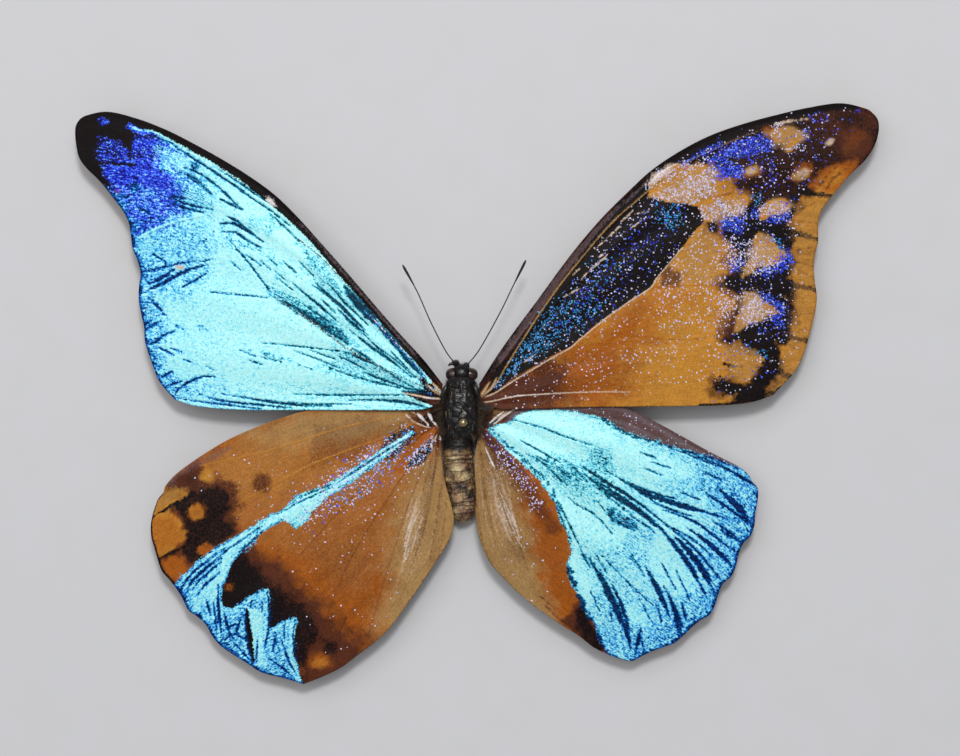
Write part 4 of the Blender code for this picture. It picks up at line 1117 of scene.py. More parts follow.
    def flashes(self, place: Socket) -> tuple[Socket, Socket]:
        """The scattered flashing scales.

        Args:
            place: The surface point.

        Returns:
            The sockets of their colour and of their share.
        """
        cells = self.cells(place, self.glint_size)
        chances = self.add("ShaderNodeSeparateColor", {0: cells.outputs["Color"]}).outputs
        reach: object = 0.0
        colour: object = self.glint_colours[Glint.WHITE]
        for kind in Glint:
            above = self.calc("GREATER_THAN", chances[0], reach) if reach else 1.0
            colour = self.mix(above, colour, self.glint_colours[kind])
            reach = self.calc("ADD", self.attribute(f"glint_{kind.value}"), reach)
        lit = self.calc("LESS_THAN", chances[0], reach)
        size = self.spread(chances[1], 0.0, 1.0, 0.26, 0.76)
        small = self.calc("MULTIPLY", self.calc("SUBTRACT", size, cells.outputs["Distance"]), 7.0, clamp=True)
        lighter = self.mix(self.spread(chances[2], 0.55, 1.0, 0.0, 0.6), colour, srgb(150, 190, 255))
        vivid = self.scaled(lighter, self.spread(chances[2], 0.0, 0.6, 0.5, 1.0))
        return vivid, self.calc("MULTIPLY", lit, small)

    def tilt_scales(self, random: Socket, blue: Socket) -> None:
        """Turns each scale's face a little its own way, more where it is blue.

        Args:
            random: A random colour for each scale.
            blue: The share of blue scales.
        """
        centred = self.vector("SUBTRACT", random, (0.5, 0.5, 0.5))
        turned = self.scaled(centred, self.spread(blue, 0.0, 1.0, 0.1, 0.18))
        normal = self.add("ShaderNodeNewGeometry").outputs["Normal"]
        self.join(self.vector("NORMALIZE", self.vector("ADD", normal, turned)), "Normal")


@dataclass(frozen=True)
class Cuticle:
    """Sizes and colours of a plain body surface."""

    name: str
    colour: Colour
    light: Colour
    roughness: float
    grain: float = 0.25 * MM
    bump: float = 0.03 * MM
    metal: float = 0.0


class Shell(Finish):
    """A body surface with two mottled colours and a fine grain."""

    def __init__(self, look: Cuticle) -> None:
        """Makes the material.

        Args:
            look: Its sizes and colours.
        """
        self.name = look.name
        super().__init__()
        place = self.object_place()
        mottle = self.noise(place, 4 * look.grain, 4.0, 0.6)
        self.join(self.mix(self.spread(mottle, 0.35, 0.68), look.colour, look.light), "Base Color")
        fine = self.noise(place, look.grain, 5.0, 0.65)
        self.join(self.spread(fine, 0.3, 0.7, look.roughness - 0.1, look.roughness + 0.15), "Roughness")
        self.shader.inputs["Metallic"].default_value = look.metal
        self.bump(fine, look.bump, 0.8)


class Growth(Nodes):
    """A geometry tree with named inputs, grown on an object and made a plain mesh."""

    def __init__(self, name: str, sizes: dict[str, tuple[str, object]]) -> None:
        """Starts a tree.

        Args:
            name: The tree's name.
            sizes: The kind of socket and the usual value of each named input.
        """
        super().__init__(bpy.data.node_groups.new(name, "GeometryNodeTree"))
        for way in ("INPUT", "OUTPUT"):
            self.tree.interface.new_socket("Geometry", in_out=way, socket_type="NodeSocketGeometry")
        self.keys: dict[str, str] = {}
        for label, (kind, value) in sizes.items():
            socket = self.tree.interface.new_socket(label, in_out="INPUT", socket_type=f"NodeSocket{kind}")
            if value is not None:
                socket.default_value = value
            self.keys[label] = socket.identifier
        self.start = self.add("NodeGroupInput")

    def size(self, label: str) -> Socket:
        """The socket of a named input."""
        return self.start.outputs[label]

    def end(self, instances: Socket) -> None:
        """Ends the tree: the instances become real and take their finish.

        Args:
            instances: The instances' socket.
        """
        real = self.add("GeometryNodeRealizeInstances", {0: instances})
        dressed = self.add("GeometryNodeSetMaterial", {"Geometry": real.outputs[0], "Material": self.size("Finish")})
        self.add("NodeGroupOutput", {0: dressed.outputs[0]})

    def grow(self, name: str, base: bpy.types.Object, **values: object) -> bpy.types.Object:
        """Grows the tree on an object.

        Args:
            name: The new piece's name.
            base: What it grows on, which stays as it is.
            **values: The named inputs that differ from their usual values.

        Returns:
            The new piece, a plain mesh.
        """
        guide = base.copy()
        bpy.context.collection.objects.link(guide)
        modifier = guide.modifiers.new(name, "NODES")
        modifier.node_group = self.tree
        for label, value in values.items():
            modifier[self.keys[label]] = value
        graph = bpy.context.evaluated_depsgraph_get()
        mesh = bpy.data.meshes.new_from_object(guide.evaluated_get(graph))
        mesh.name = name
        guide.modifiers.remove(modifier)
        bpy.data.objects.remove(guide)
        piece = bpy.data.objects.new(name, mesh)
        bpy.context.collection.objects.link(piece)
        return piece


def flat_tree(corners: Sequence[bmesh.types.BMVert]) -> KDTree:
    """Makes a finder of the nearest corner in the view from above.

    Args:
        corners: The corners.

    Returns:
        The finder, which gives their numbers.
    """
    tree = KDTree(len(corners))
    for number, vert in enumerate(corners):
        tree.insert((vert.co.x, vert.co.y, 0), number)
    tree.balance()
    return tree


def merged_copy(node: str) -> bmesh.types.BMesh:
    """Copies a CAD node's mesh with its loose triangles joined.

    Args:
        node: The node's name.

    Returns:
        The joined mesh.
    """
    shape = bmesh.new()
    shape.from_mesh(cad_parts[node].data)
    bmesh.ops.remove_doubles(shape, verts=shape.verts, dist=1e-6)
    return shape


def store_number(mesh: bpy.types.Mesh, label: str, values: np.ndarray) -> None:
    """Keeps a number at each of a mesh's points, under a label."""
    mesh.attributes.new(label, "FLOAT", "POINT").data.foreach_set("value", values.astype(np.float32))


def add_object(name: str, mesh: bpy.types.Mesh, *materials: bpy.types.Material) -> bpy.types.Object:
    """Adds a mesh to the scene as a piece.

    Args:
        name: The piece's name.
        mesh: Its mesh, in place.
        *materials: Its materials.

    Returns:
        The piece.
    """
    mesh.name = name
    for material in materials:
        mesh.materials.append(material)
    piece = bpy.data.objects.new(name, mesh)
    bpy.context.collection.objects.link(piece)
    return piece


def upsampler(known: int, count: int) -> np.ndarray:
    """A matrix that reads places at even steps from a smooth curve through known ones.

    Args:
        known: How many places are known.
        count: How many are read.

    Returns:
        The matrix, one row for each place read.
    """
    ends = np.zeros((known + 2, known))
    ends[1:-1] = np.eye(known)
    ends[0, :2] = (2, -1)
    ends[-1, -2:] = (-1, 2)
    places = np.linspace(0, known - 1, count)
    cell = np.minimum(places.astype(int), known - 2)
    t = places - cell
    weights = np.stack([-t + 2 * t**2 - t**3, 2 - 5 * t**2 + 3 * t**3, t + 4 * t**2 - 3 * t**3, t**3 - t**2]) / 2
    rows = np.zeros((count, known + 2))
    for offset in range(4):
        rows[np.arange(count), cell + offset] = weights[offset]
    return rows @ ends


class WingBase:
    """The regular grid of points behind a CAD wing's upper face, from the root outwards."""

    def __init__(self, node: str, apex: Point, tornus: Point, rows: int = 16, columns: int = 24) -> None:
        """Finds the grid.

        Args:
            node: The CAD wing.
            apex: The pixel at the outer end of the leading edge.
            tornus: The pixel where the outer margin ends.
            rows: The CAD grid's points from root to margin.
            columns: Its points from leading edge to inner edge.
        """
        shape = merged_copy(node)
        upper = self.upper_faces(shape)
        loop = self.rim(shape, upper)
        loop = np.roll(loop, -self.nearest(loop, apex), axis=0)
        if self.nearest(loop, tornus) > len(loop) / 2:
            loop = np.vstack([loop[:1], loop[1:][::-1]])
        outer = loop[:columns]
        inner = loop[columns - 1:columns + rows - 1][::-1]
        root = loop[columns + rows - 2:2 * columns + rows - 2][::-1]
        leading = np.vstack([loop[2 * columns + rows - 3:], loop[:1]])
        u = np.linspace(0, 1, rows)[:, None, None]
        v = np.linspace(0, 1, columns)[None, :, None]
        along = (1 - v) * leading[:, None] + v * inner[:, None]
        across = (1 - u) * root[None] + u * outer[None]
        corners = (1 - u) * ((1 - v) * leading[0] + v * inner[0]) + u * ((1 - v) * leading[-1] + v * inner[-1])
        self.points = self.on_face(upper, along + across - corners)
        shape.free()

    @staticmethod
    def upper_faces(shape: bmesh.types.BMesh) -> set[bmesh.types.BMFace]:
        """Finds the faces whose corners all have a twin straight below them.

        Args:
            shape: The wing's mesh.

        Returns:
            The upward faces.
        """
        tree = flat_tree(shape.verts)
        shape.verts.ensure_lookup_table()
        top = {vert for vert in shape.verts
               if any(shape.verts[number].co.z < vert.co.z - 1e-6
                      for _, number, _ in tree.find_range((vert.co.x, vert.co.y, 0), 1e-5))}
        return {face for face in shape.faces if all(vert in top for vert in face.verts)}

    @staticmethod
    def rim(shape: bmesh.types.BMesh, upper: set[bmesh.types.BMFace]) -> np.ndarray:
        """Walks round the edge of the upper face.

        Args:
            shape: The wing's mesh.
            upper: Its upward faces.

        Returns:
            The edge's points in order.
        """
        edges = [edge for edge in shape.edges if sum(face in upper for face in edge.link_faces) == 1]
        beside: dict[bmesh.types.BMVert, list[bmesh.types.BMVert]] = {}
        for edge in edges:
            first, second = edge.verts
            beside.setdefault(first, []).append(second)
            beside.setdefault(second, []).append(first)
        start = edges[0].verts[0]
        walk, last, here = [start], None, start
        while True:
            ahead = next(vert for vert in beside[here] if vert is not last)
            if ahead is start:
                break
            walk.append(ahead)
            last, here = here, ahead
        return np.array([vert.co[:] for vert in walk])

    @staticmethod
    def nearest(loop: np.ndarray, pixel: Point) -> int:
        """The number of the edge point nearest to a pixel."""
        x, y = place_of(*pixel)
        return int(np.argmin(np.hypot(loop[:, 0] - x, loop[:, 1] - y)))

    @staticmethod
    def on_face(upper: set[bmesh.types.BMFace], guess: np.ndarray) -> np.ndarray:
        """Moves each guessed point to the nearest corner of the upper face.

        Args:
            upper: The upward faces.
            guess: The guessed points.

        Returns:
            The corners, one for each point.
        """
        corners = list({vert for face in upper for vert in face.verts})
        tree = flat_tree(corners)
        flat = guess.reshape(-1, 3)
        found = [corners[tree.find((x, y, 0))[1]].co[:] for x, y, _ in flat]
        return np.array(found).reshape(guess.shape)

    def fine(self, rows: int, columns: int) -> np.ndarray:
        """Reads a finer grid from the smooth surface through the points.

        Args:
            rows: Its points from root to margin.
            columns: Its points from leading edge to inner edge.

        Returns:
            Its points.
        """
        u = upsampler(self.points.shape[0], rows)
        v = upsampler(self.points.shape[1], columns)
        return np.einsum("ri,ijk,cj->rck", u, self.points, v)


def place_of(across: float, down: float) -> Point:
    """The place of a photo pixel, in metres."""
    return (across - PHOTO_PIN[0]) * PIXEL, (PHOTO_PIN[1] - down) * PIXEL


def bare_scales(rows: int, columns: int, ground: Pigment) -> np.ndarray:
    """The shares of the kinds of scale, where all are of one kind.

    Args:
        rows: The rows of points.
        columns: The points in each row.
        ground: The kind.

    Returns:
        One number for each point and kind.
    """
    weights = np.zeros((rows, columns, len(KINDS)))
    weights[..., KINDS.index(ground)] = 1
    return weights


def lay_scales(weights: np.ndarray, kind: Pigment, cover: np.ndarray) -> None:
    """Lays one kind of scale over the others.

    Args:
        weights: The shares of the kinds at each point.
        kind: The kind that is laid.
        cover: How much of each point it covers.
    """
    weights *= (1 - cover)[..., None]
    weights[..., KINDS.index(kind)] += cover


@dataclass
class Wing:
    """One wing: its membrane, its veins and folds, and its scales."""

    node: str
    slot: str
    ground: Pigment
    marks: tuple[Mark, ...]
    apex: Point
    tornus: Point
    seed: int
    edge_dark: float = 0.9  # how dark the outer margin is
    lap: float = 0.0  # how far the inner edge is drawn to the body, in millimetres
    bulge: float = 0.0  # how much further beside the abdomen's tip, in millimetres
    rows: int = 305
    columns: int = 297
    coarser: int = 4  # how many steps of the upper face go into one of the lower
    thickness: float = 0.22 * MM
    relief_range: tuple[float, float] = (-0.17, 0.22)  # in millimetres
    ripple: float = 0.035 * MM
    costa_height: float = 0.16 * MM
    costa_width: float = 0.5 * MM
    margin_width: float = 2.2  # of the dark edge, in photo pixels
    rim_width: float = 12.0  # of the deeper blue of painted shade beside it, in photo pixels
    tip_rounding: float = 1.6 * MM
    tip_pull: float = 0.34  # how far the tip is drawn in, as a share of its rounding
    tip_steps: int = 12  # how many steps of the grid away lies the point that it is drawn to
    bulge_middle: float = -17.0  # where the bulge is, in millimetres along the body
    bulge_length: float = 4.0
    points: np.ndarray = field(init=False)
    weights: np.ndarray = field(init=False)
    flashing: dict[Glint, np.ndarray] = field(init=False)
    relief: np.ndarray = field(init=False)

    def build(self, scales: bpy.types.Material) -> bpy.types.Object:
        """Makes the wing's skin.

        Args:
            scales: The finish of its scales.

        Returns:
            The skin.
        """
        self.points = WingBase(self.node, self.apex, self.tornus).fine(self.rows, self.columns)
        self.round_tip()
        self.reach_body()
        self.paint()
        mesh = self.skin()
        return dress(add_object(f"{self.node}_skin", mesh, scales), self.slot, self.node)

    def round_tip(self) -> None:
        """Rounds the corner between the leading edge and the outer margin."""
        corner = self.points[-1, 0].copy()
        inwards = self.points[-1 - self.tip_steps, self.tip_steps] - corner
        inwards[2] = 0
        inwards /= np.linalg.norm(inwards)
        distance = np.linalg.norm((self.points - corner)[..., :2], axis=-1)
        pull = self.tip_pull * self.tip_rounding * np.clip(1 - distance / self.tip_rounding, 0, 1) ** 1.6
        self.points += pull[..., None] * inwards

    def reach_body(self) -> None:
        """Draws the inner edge to the body, so that no gap shows beside it."""
        u, v = self.shares()
        near = np.exp(-((self.points[..., 1] / MM - self.bulge_middle) / self.bulge_length) ** 2)
        shift = (self.lap + self.bulge * near) * smoothstep(0.8, 1.0, v) * smoothstep(0.9, 0.5, u) * MM
        self.points[..., 0] -= np.sign(self.points[-1, 0, 0]) * shift

    def pixels(self) -> tuple[np.ndarray, np.ndarray]:
        """The photo pixel above each point of the wing."""
        return (self.points[..., 0] / PIXEL + PHOTO_PIN[0], PHOTO_PIN[1] - self.points[..., 1] / PIXEL)

    def paint(self) -> None:
        """Lays the marks over the ground, one after the other, and adds up the surface's relief."""
        x, y = self.pixels()
        u, v = self.shares()
        self.weights = bare_scales(self.rows, self.columns, self.ground)
        self.flashing = {kind: np.zeros(x.shape) for kind in Glint}
        self.relief = np.zeros(x.shape)
        for number, mark in enumerate(self.marks):
            cover = self.cover(mark, x, y, self.seed + number)
            if isinstance(mark, Glints):
                self.flashing[mark.glint] = np.maximum(self.flashing[mark.glint], cover * mark.density)
                continue
            if isinstance(mark, Patch) and mark.streaky:
                strokes = smoothstep(0.32, 0.68, value_noise(u * 9, v * 70, self.seed + number))
                cover *= 1 - mark.streaky * (1 - strokes)
            self.lay(mark.pigment, cover * mark.strength)
            if isinstance(mark, Streak):
                self.relief += cover * mark.lift
        self.edge()
        ripple = value_noise(u * 14, v * 90, self.seed) + 0.6 * value_noise(u * 30, v * 210, self.seed + 1) - 0.8
        self.relief += ripple * self.ripple / MM * (0.5 - 0.25 * self.blue_share())
        costa = np.exp(-((v * self.span()) / self.costa_width) ** 2)
        self.relief += self.costa_height / MM * costa * (1 - 0.7 * u)
        self.relief = np.clip(self.relief, *self.relief_range) * MM

    def blue_share(self) -> np.ndarray:
        """How much of each point has blue scales."""
        return self.weights[..., KINDS.index(P.NAVY):].sum(axis=-1)

    def lay(self, kind: Pigment, cover: np.ndarray) -> None:
        """Lays one kind of scale over the upper face, by its share at each point."""
        lay_scales(self.weights, kind, cover)

    def shares(self) -> tuple[np.ndarray, np.ndarray]:
        """How far each point is from root to margin, and from leading edge to inner edge."""
        return grid(self.rows, self.columns)

    def span(self) -> np.ndarray:
        """The width of the wing at each step from the root, in metres."""
        steps = np.linalg.norm(np.diff(self.points[..., :2], axis=1), axis=2).sum(axis=1)
        return steps[:, None]

    def cover(self, mark: Mark, x: np.ndarray, y: np.ndarray, seed: int) -> np.ndarray:
        """How much of each point a mark covers, from 0 to 1.

        Args:
            mark: The mark.
            x: The points' pixels across the photo.
            y: Their pixels down it.
            seed: Which noise bends its edge.

        Returns:
            The cover.
        """
        line = isinstance(mark, Streak)
        corners = np.array(mark.path if line else mark.outline, float)
        reach = mark.width + 4 if line else mark.soft + 3 * mark.wander + 4
        near = ((x > corners[:, 0].min() - reach) & (x < corners[:, 0].max() + reach)
                & (y > corners[:, 1].min() - reach) & (y < corners[:, 1].max() + reach))
        cover = np.zeros(x.shape)
        cover[near] = self.streak_cover(mark, x[near], y[near], seed) if line else self.patch_cover(
            mark, x[near], y[near], seed)
        return cover

    @staticmethod
    def streak_cover(mark: Streak, x: np.ndarray, y: np.ndarray, seed: int) -> np.ndarray:
        """How much of each point a streak covers.

        Args:
            mark: The streak.
            x: The points' pixels across the photo.
            y: Their pixels down it.
            seed: Which noise bends its edges.

        Returns:
            The cover.
        """
        path = smooth_path([(*point, 0.0) for point in mark.path], 5 * len(mark.path))[:, :2]
        distance, share = path_distance(x, y, path)
        start = mark.width if mark.start_width < 0 else mark.start_width
        width = np.interp(share, (0, 0.35, 0.6, 1), (start, mark.width, mark.width, mark.end_width))
        if start == mark.width:
            width = mark.width + (mark.end_width - mark.width) * share
        bend = mark.waver * (value_noise(x / 2.6, y / 2.6, seed) - 0.5)
        return smoothstep(width / 2 + 1.0, width / 2 - 1.0, distance + 2 * bend)

    @staticmethod
    def patch_cover(mark: Patch | Glints, x: np.ndarray, y: np.ndarray, seed: int) -> np.ndarray:
        """How much of each point a patch covers.

        Args:
            mark: The patch.
            x: The points' pixels across the photo.
            y: Their pixels down it.
            seed: Which noise bends its edge.

        Returns:
            The cover.
        """
        distance, _ = path_distance(x, y, (*mark.outline, mark.outline[0]))
        depth = np.where(inside(x, y, mark.outline), distance, -distance) - mark.inset
        bend = value_noise(x / 9, y / 9, seed) + 0.5 * value_noise(x / 3.3, y / 3.3, seed + 50) - 0.75
        return smoothstep(-mark.soft, mark.soft, depth + 2 * mark.wander * bend)

    def edge(self) -> None:
        """Deepens the blue towards the outer margin as painted shade, and darkens the wing's very edge."""
        u, v = self.shares()
        length = np.linalg.norm(np.diff(self.points[..., :2], axis=0), axis=2).sum(axis=0)[None]
        outer = (1 - u) * length / PIXEL
        inner = (1 - v) * self.span() / PIXEL
        strokes = value_noise(u * 7, v * 85, self.seed + 60) + 0.5 * value_noise(u * 13, v * 170, self.seed + 61)
        # painted shade: the blue deepened in ragged strokes along the outer margin
        band = smoothstep(self.rim_width, 0, outer - 0.9 * self.rim_width * (strokes - 0.75))
        self.lay(P.AZURE, 0.6 * band * self.blue_share())
        rim = smoothstep(0.4 * self.rim_width, 0, outer - 0.5 * self.rim_width * (strokes - 0.75))
        self.lay(P.NAVY, 0.6 * rim * self.blue_share())
        amount = smoothstep(self.margin_width + 1.2, self.margin_width - 1.2, outer) * self.edge_dark
        blue = self.blue_share()
        dark = np.maximum(amount, smoothstep(1.6, 0.2, inner) * 0.5)
        self.lay(P.SOOT, dark * (1 - 0.85 * blue))
        self.lay(P.NAVY, 0.75 * dark * blue)

    def underside(self, rows: int, columns: int) -> np.ndarray:
        """The pigments of the hidden lower face: brown, a pale margin band and a row of eyespots.

        Args:
            rows: The lower face's points from root to margin.
            columns: Its points from leading edge to inner edge.

        Returns:
            The share of each kind of scale at each point.
        """
        u, v = grid(rows, columns)
        weights = bare_scales(rows, columns, P.UMBER)
        bend = 0.02 * value_noise(u * 8, v * 12, self.seed + 3)
        mottle = value_noise(u * 9, v * 11, self.seed + 4)
        streaking = value_noise(u * 6, v * 40, self.seed + 5)
        covers = [(P.MAUVE, 0.5 * smoothstep(0.45, 0.8, mottle)), (P.RUST, 0.4 * smoothstep(0.5, 0.8, streaking)),
                  (P.SOOT, 0.4 * smoothstep(0.45, 0.2, mottle)),
                  (P.OCHRE, 0.6 * smoothstep(0.06, 0.0, np.abs(u + bend - 0.99))),
                  (P.TAN, 0.8 * smoothstep(0.02, 0.008, np.abs(u + bend - 0.93))),
                  (P.SOOT, 0.6 * smoothstep(0.05, 0.02, np.abs(u + bend - 0.89))),
                  (P.TAN, 0.6 * smoothstep(0.02, 0.006, np.abs(u + 2 * bend - 0.45))),
                  (P.TAN, 0.4 * smoothstep(0.016, 0.006, np.abs(u + 3 * bend - 0.24)))]
        for centre, size in ((0.2, 0.8), (0.47, 1.0), (0.72, 1.15)):
            ring = np.hypot((u - 0.73) * 1.1, (v - centre) * 0.9) / size
            covers += [(kind, smoothstep(radius + 0.006, radius - 0.006, ring)) for kind, radius in
                       ((P.TAN, 0.084), (P.OCHRE, 0.072), (P.SOOT, 0.056), (P.RUST, 0.03), (P.CREAM, 0.012))]
        for kind, cover in covers:
            lay_scales(weights, kind, cover)
        return weights

    def skin(self) -> bpy.types.Mesh:
        """Makes the closed skin: a fine upper face, a coarser lower one, and the rim.

        Returns:
            The skin's mesh.
        """
        step = self.coarser
        top = np.arange(self.rows * self.columns).reshape(self.rows, self.columns)
        lower = self.points[::step, ::step].copy()
        lower[..., 2] -= self.thickness
        upper = self.points.copy()
        upper[..., 2] += self.relief
        below = top.size + np.arange(lower.shape[0] * lower.shape[1]).reshape(lower.shape[:2])
        faces = self.quads(top) + [face[::-1] for face in self.quads(below)]
        fine_rim, rim = self.border(top), self.border(below)
        for i in range(len(rim)):
            j = (i + 1) % len(rim)
            near = [fine_rim[(step * i + k) % len(fine_rim)] for k in range(step, -1, -1)]
            faces.append((*near, rim[i], rim[j]))
        if self.points[-1, 0, 0] > 0:
            faces = [face[::-1] for face in faces]
        mesh = bpy.data.meshes.new(self.node)
        corners = np.vstack([upper.reshape(-1, 3), lower.reshape(-1, 3)])
        mesh.from_pydata(corners.tolist(), [], [tuple(map(int, face)) for face in faces])
        mesh.shade_smooth()
        self.store(mesh, lower.shape[0], lower.shape[1])
        return mesh

    @staticmethod
    def quads(numbers: np.ndarray) -> list[tuple[int, ...]]:
        """The faces between the points of a numbered grid."""
        a, b, c, d = numbers[:-1, :-1], numbers[1:, :-1], numbers[1:, 1:], numbers[:-1, 1:]
        return np.stack([a, b, c, d], axis=-1).reshape(-1, 4).tolist()

    @staticmethod
    def border(numbers: np.ndarray) -> list[int]:
        """The numbers round a grid's edge, in order."""
        return [*numbers[:-1, 0], *numbers[-1, :-1], *numbers[:0:-1, -1], *numbers[0, :0:-1]]

    def store(self, mesh: bpy.types.Mesh, rows: int, columns: int) -> None:
        """Keeps the pigments and the direction of the veins on the mesh, for its finish.

        Args:
            mesh: The skin.
            rows: The rows of its lower face.
            columns: The columns of its lower face.
        """
        weights = np.vstack([part.reshape(-1, len(KINDS)) for part in (self.weights, self.underside(rows, columns))])
        total = np.cumsum(weights, axis=1)
        blues = weights[:, KINDS.index(P.NAVY):]
        blue = np.maximum(blues.sum(axis=1), 1e-6)
        layers = {f"cover_{kind.value}": weights[:, number] / np.maximum(total[:, number], 1e-6)
                  for number, kind in enumerate(PLAIN) if number}
        layers["blue"] = blue
        layers["shine"] = (blues * list(BRIGHTNESS.values())).sum(axis=1) / blue
        layers["violet"] = weights[:, KINDS.index(P.VIOLET)] / blue
        for kind, density in self.flashing.items():
            layers[f"glint_{kind.value}"] = np.concatenate([density.ravel(), np.zeros(rows * columns)])
        for label, values in layers.items():
            store_number(mesh, label, values)
        u, v = (np.concatenate([above.ravel(), below.ravel()])
                for above, below in zip(self.shares(), grid(rows, columns)))
        along = np.stack([u * STROKES_ALONG, v * STROKES_ACROSS, np.full(u.shape, float(self.seed))], axis=1)
        layer = mesh.attributes.new("along_veins", "FLOAT_VECTOR", "POINT")
        layer.data.foreach_set("vector", along.astype(np.float32).ravel())


WINGS = (
    Wing("forewing_left", "blue_scales", P.CYAN, FOREWING_LEFT_MARKS, (77, 118), (175, 400), seed=11),
    Wing("forewing_right", "brown_scales", P.OCHRE, FOREWING_RIGHT_MARKS, (875, 111), (773, 395), seed=23,
         edge_dark=0.3),
    Wing("hindwing_left", "brown_scales", P.RUST, HINDWING_LEFT_MARKS, (160, 492), (303, 685), seed=37, lap=0.3,
         bulge=0.55),
    Wing("hindwing_right", "blue_scales", P.RUST, HINDWING_RIGHT_MARKS, (755, 480), (610, 656), seed=51, lap=0.3,
         bulge=0.1),
)


def smooth_path(points: Sequence[Sequence[float]], count: int) -> np.ndarray:
    """Reads evenly spaced places from a smooth curve.

    Args:
        points: The places that the curve goes through, with any other values beside them.
        count: How many places are read.

    Returns:
        One row for each place.
    """
    known = np.array(points, float)
    dense = upsampler(len(known), 16 * len(known)) @ known
    lengths = np.concatenate([[0], np.cumsum(np.linalg.norm(np.diff(dense[:, :3], axis=0), axis=1))])
    wanted = np.linspace(0, lengths[-1], count)
    return np.column_stack([np.interp(wanted, lengths, column) for column in dense.T])


def places_of(x: np.ndarray | float, y: np.ndarray | float, z: np.ndarray | float) -> np.ndarray:
    """Puts coordinates in millimetres side by side as places in metres."""
    return np.stack(np.broadcast_arrays(x, y, z), axis=1) * MM


class Tube:
    """A closed tube of changing radius along a path, as rings of points that can still be moved."""

    def __init__(self, path: np.ndarray, radii: np.ndarray, sides: int, flatness: float = 1.0) -> None:
        """Sweeps the rings.

        Args:
            path: The middles of the rings.
            radii: Their half widths.
            sides: Points in each ring.
            flatness: Their height as a share of their width.
        """
        self.path = path
        self.turn = 2 * math.pi * np.arange(sides) / sides
        self.outward = np.zeros((len(path), sides, 3))
        side = Vector((0, 0, 1)) if np.ptp(path[:, 0]) > np.ptp(path[:, 1:], axis=0).max() else Vector((1, 0, 0))
        for number in range(len(path)):
            ahead = Vector(path[min(number + 1, len(path) - 1)] - path[max(number - 1, 0)]).normalized()
            side = (side - ahead * side.dot(ahead)).normalized()
            up = ahead.cross(side)
            self.outward[number] = (np.outer(np.cos(self.turn), side) + np.outer(np.sin(self.turn), up) * flatness)
        self.rings = path[:, None] + self.outward * np.asarray(radii)[:, None, None]

    @classmethod
    def through(cls, places: Sequence[Sequence[float]], count: int, sides: int, flatness: float = 1.0) -> "Tube":
        """Sweeps a tube along a smooth curve through known places.

        Args:
            places: The middles and half widths, in millimetres.
            count: How many rings.
            sides: Points in each ring.
            flatness: Their height as a share of their width.

        Returns:
            The tube.
        """
        rings = smooth_path(places, count) * MM
        return cls(rings[:, :3], rings[:, 3], sides, flatness)

    def push(self, amount: np.ndarray) -> None:
        """Moves the points outwards by an amount for each."""
        self.rings += self.outward * amount[..., None]

    def mesh(self, name: str, **layers: np.ndarray | float) -> bpy.types.Mesh:
        """Makes the mesh.

        Args:
            name: Its name.
            **layers: Numbers to keep at its points, by attribute name, spread over the rings where there are fewer.

        Returns:
            The mesh, closed at both ends.
        """
        count, sides = self.rings.shape[:2]
        numbers = np.arange(count * sides).reshape(count, sides)
        around = np.roll(numbers, -1, axis=1)
        faces = np.stack([numbers[:-1], around[:-1], around[1:], numbers[1:]], axis=-1).reshape(-1, 4).tolist()
        ends = count * sides, count * sides + 1
        faces += [(ends[0], b, a) for a, b in zip(numbers[0].tolist(), around[0].tolist())]
        faces += [(ends[1], a, b) for a, b in zip(numbers[-1].tolist(), around[-1].tolist())]
        middles = [self.rings[0].mean(axis=0), self.rings[-1].mean(axis=0)]
        mesh = bpy.data.meshes.new(name)
        mesh.from_pydata(np.vstack([self.rings.reshape(-1, 3), middles]).tolist(), [], faces)
        mesh.shade_smooth()
        for label, values in layers.items():
            wide = np.broadcast_to(values, (count, sides))
            store_number(mesh, label, np.concatenate([wide.ravel(), [wide[0, 0], wide[-1, 0]]]))
        return mesh


def dress(piece: bpy.types.Object, slot: str, *nodes: str) -> bpy.types.Object:
    """Says what a piece rides on, and hides the CAD nodes that it stands for.

    Args:
        piece: The piece.
        slot: The record's material slot; not used.
        *nodes: The CAD nodes that it stands for.

    Returns:
        The piece.
    """
    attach(piece, "root")
    if nodes:
        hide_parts(*nodes)
    piece.data.calc_loop_triangles()
    LOG.info("%s: %d triangles", piece.name, len(piece.data.loop_triangles))
    return piece


class Facets(Finish):
    """The eyes: dark red-brown, and glossy over fine facets."""

    name = "eye_facets"
    facet = 0.09 * MM

    def __init__(self) -> None:
        """Makes the facets' colour and relief."""
        super().__init__()
        place = self.object_place()
        cells = self.cells(place, self.facet)
        clouds = self.spread(self.noise(place, 0.9 * MM, 3.0), 0.35, 0.65)
        self.join(self.mix(clouds, srgb(22, 14, 13), srgb(62, 42, 38)), "Base Color")
        self.bump(cells.outputs["Distance"], 0.02 * MM, 0.5, invert=True)
        self.shader.inputs["Roughness"].default_value = 0.16
        self.shader.inputs["Coat Weight"].default_value = 0.4


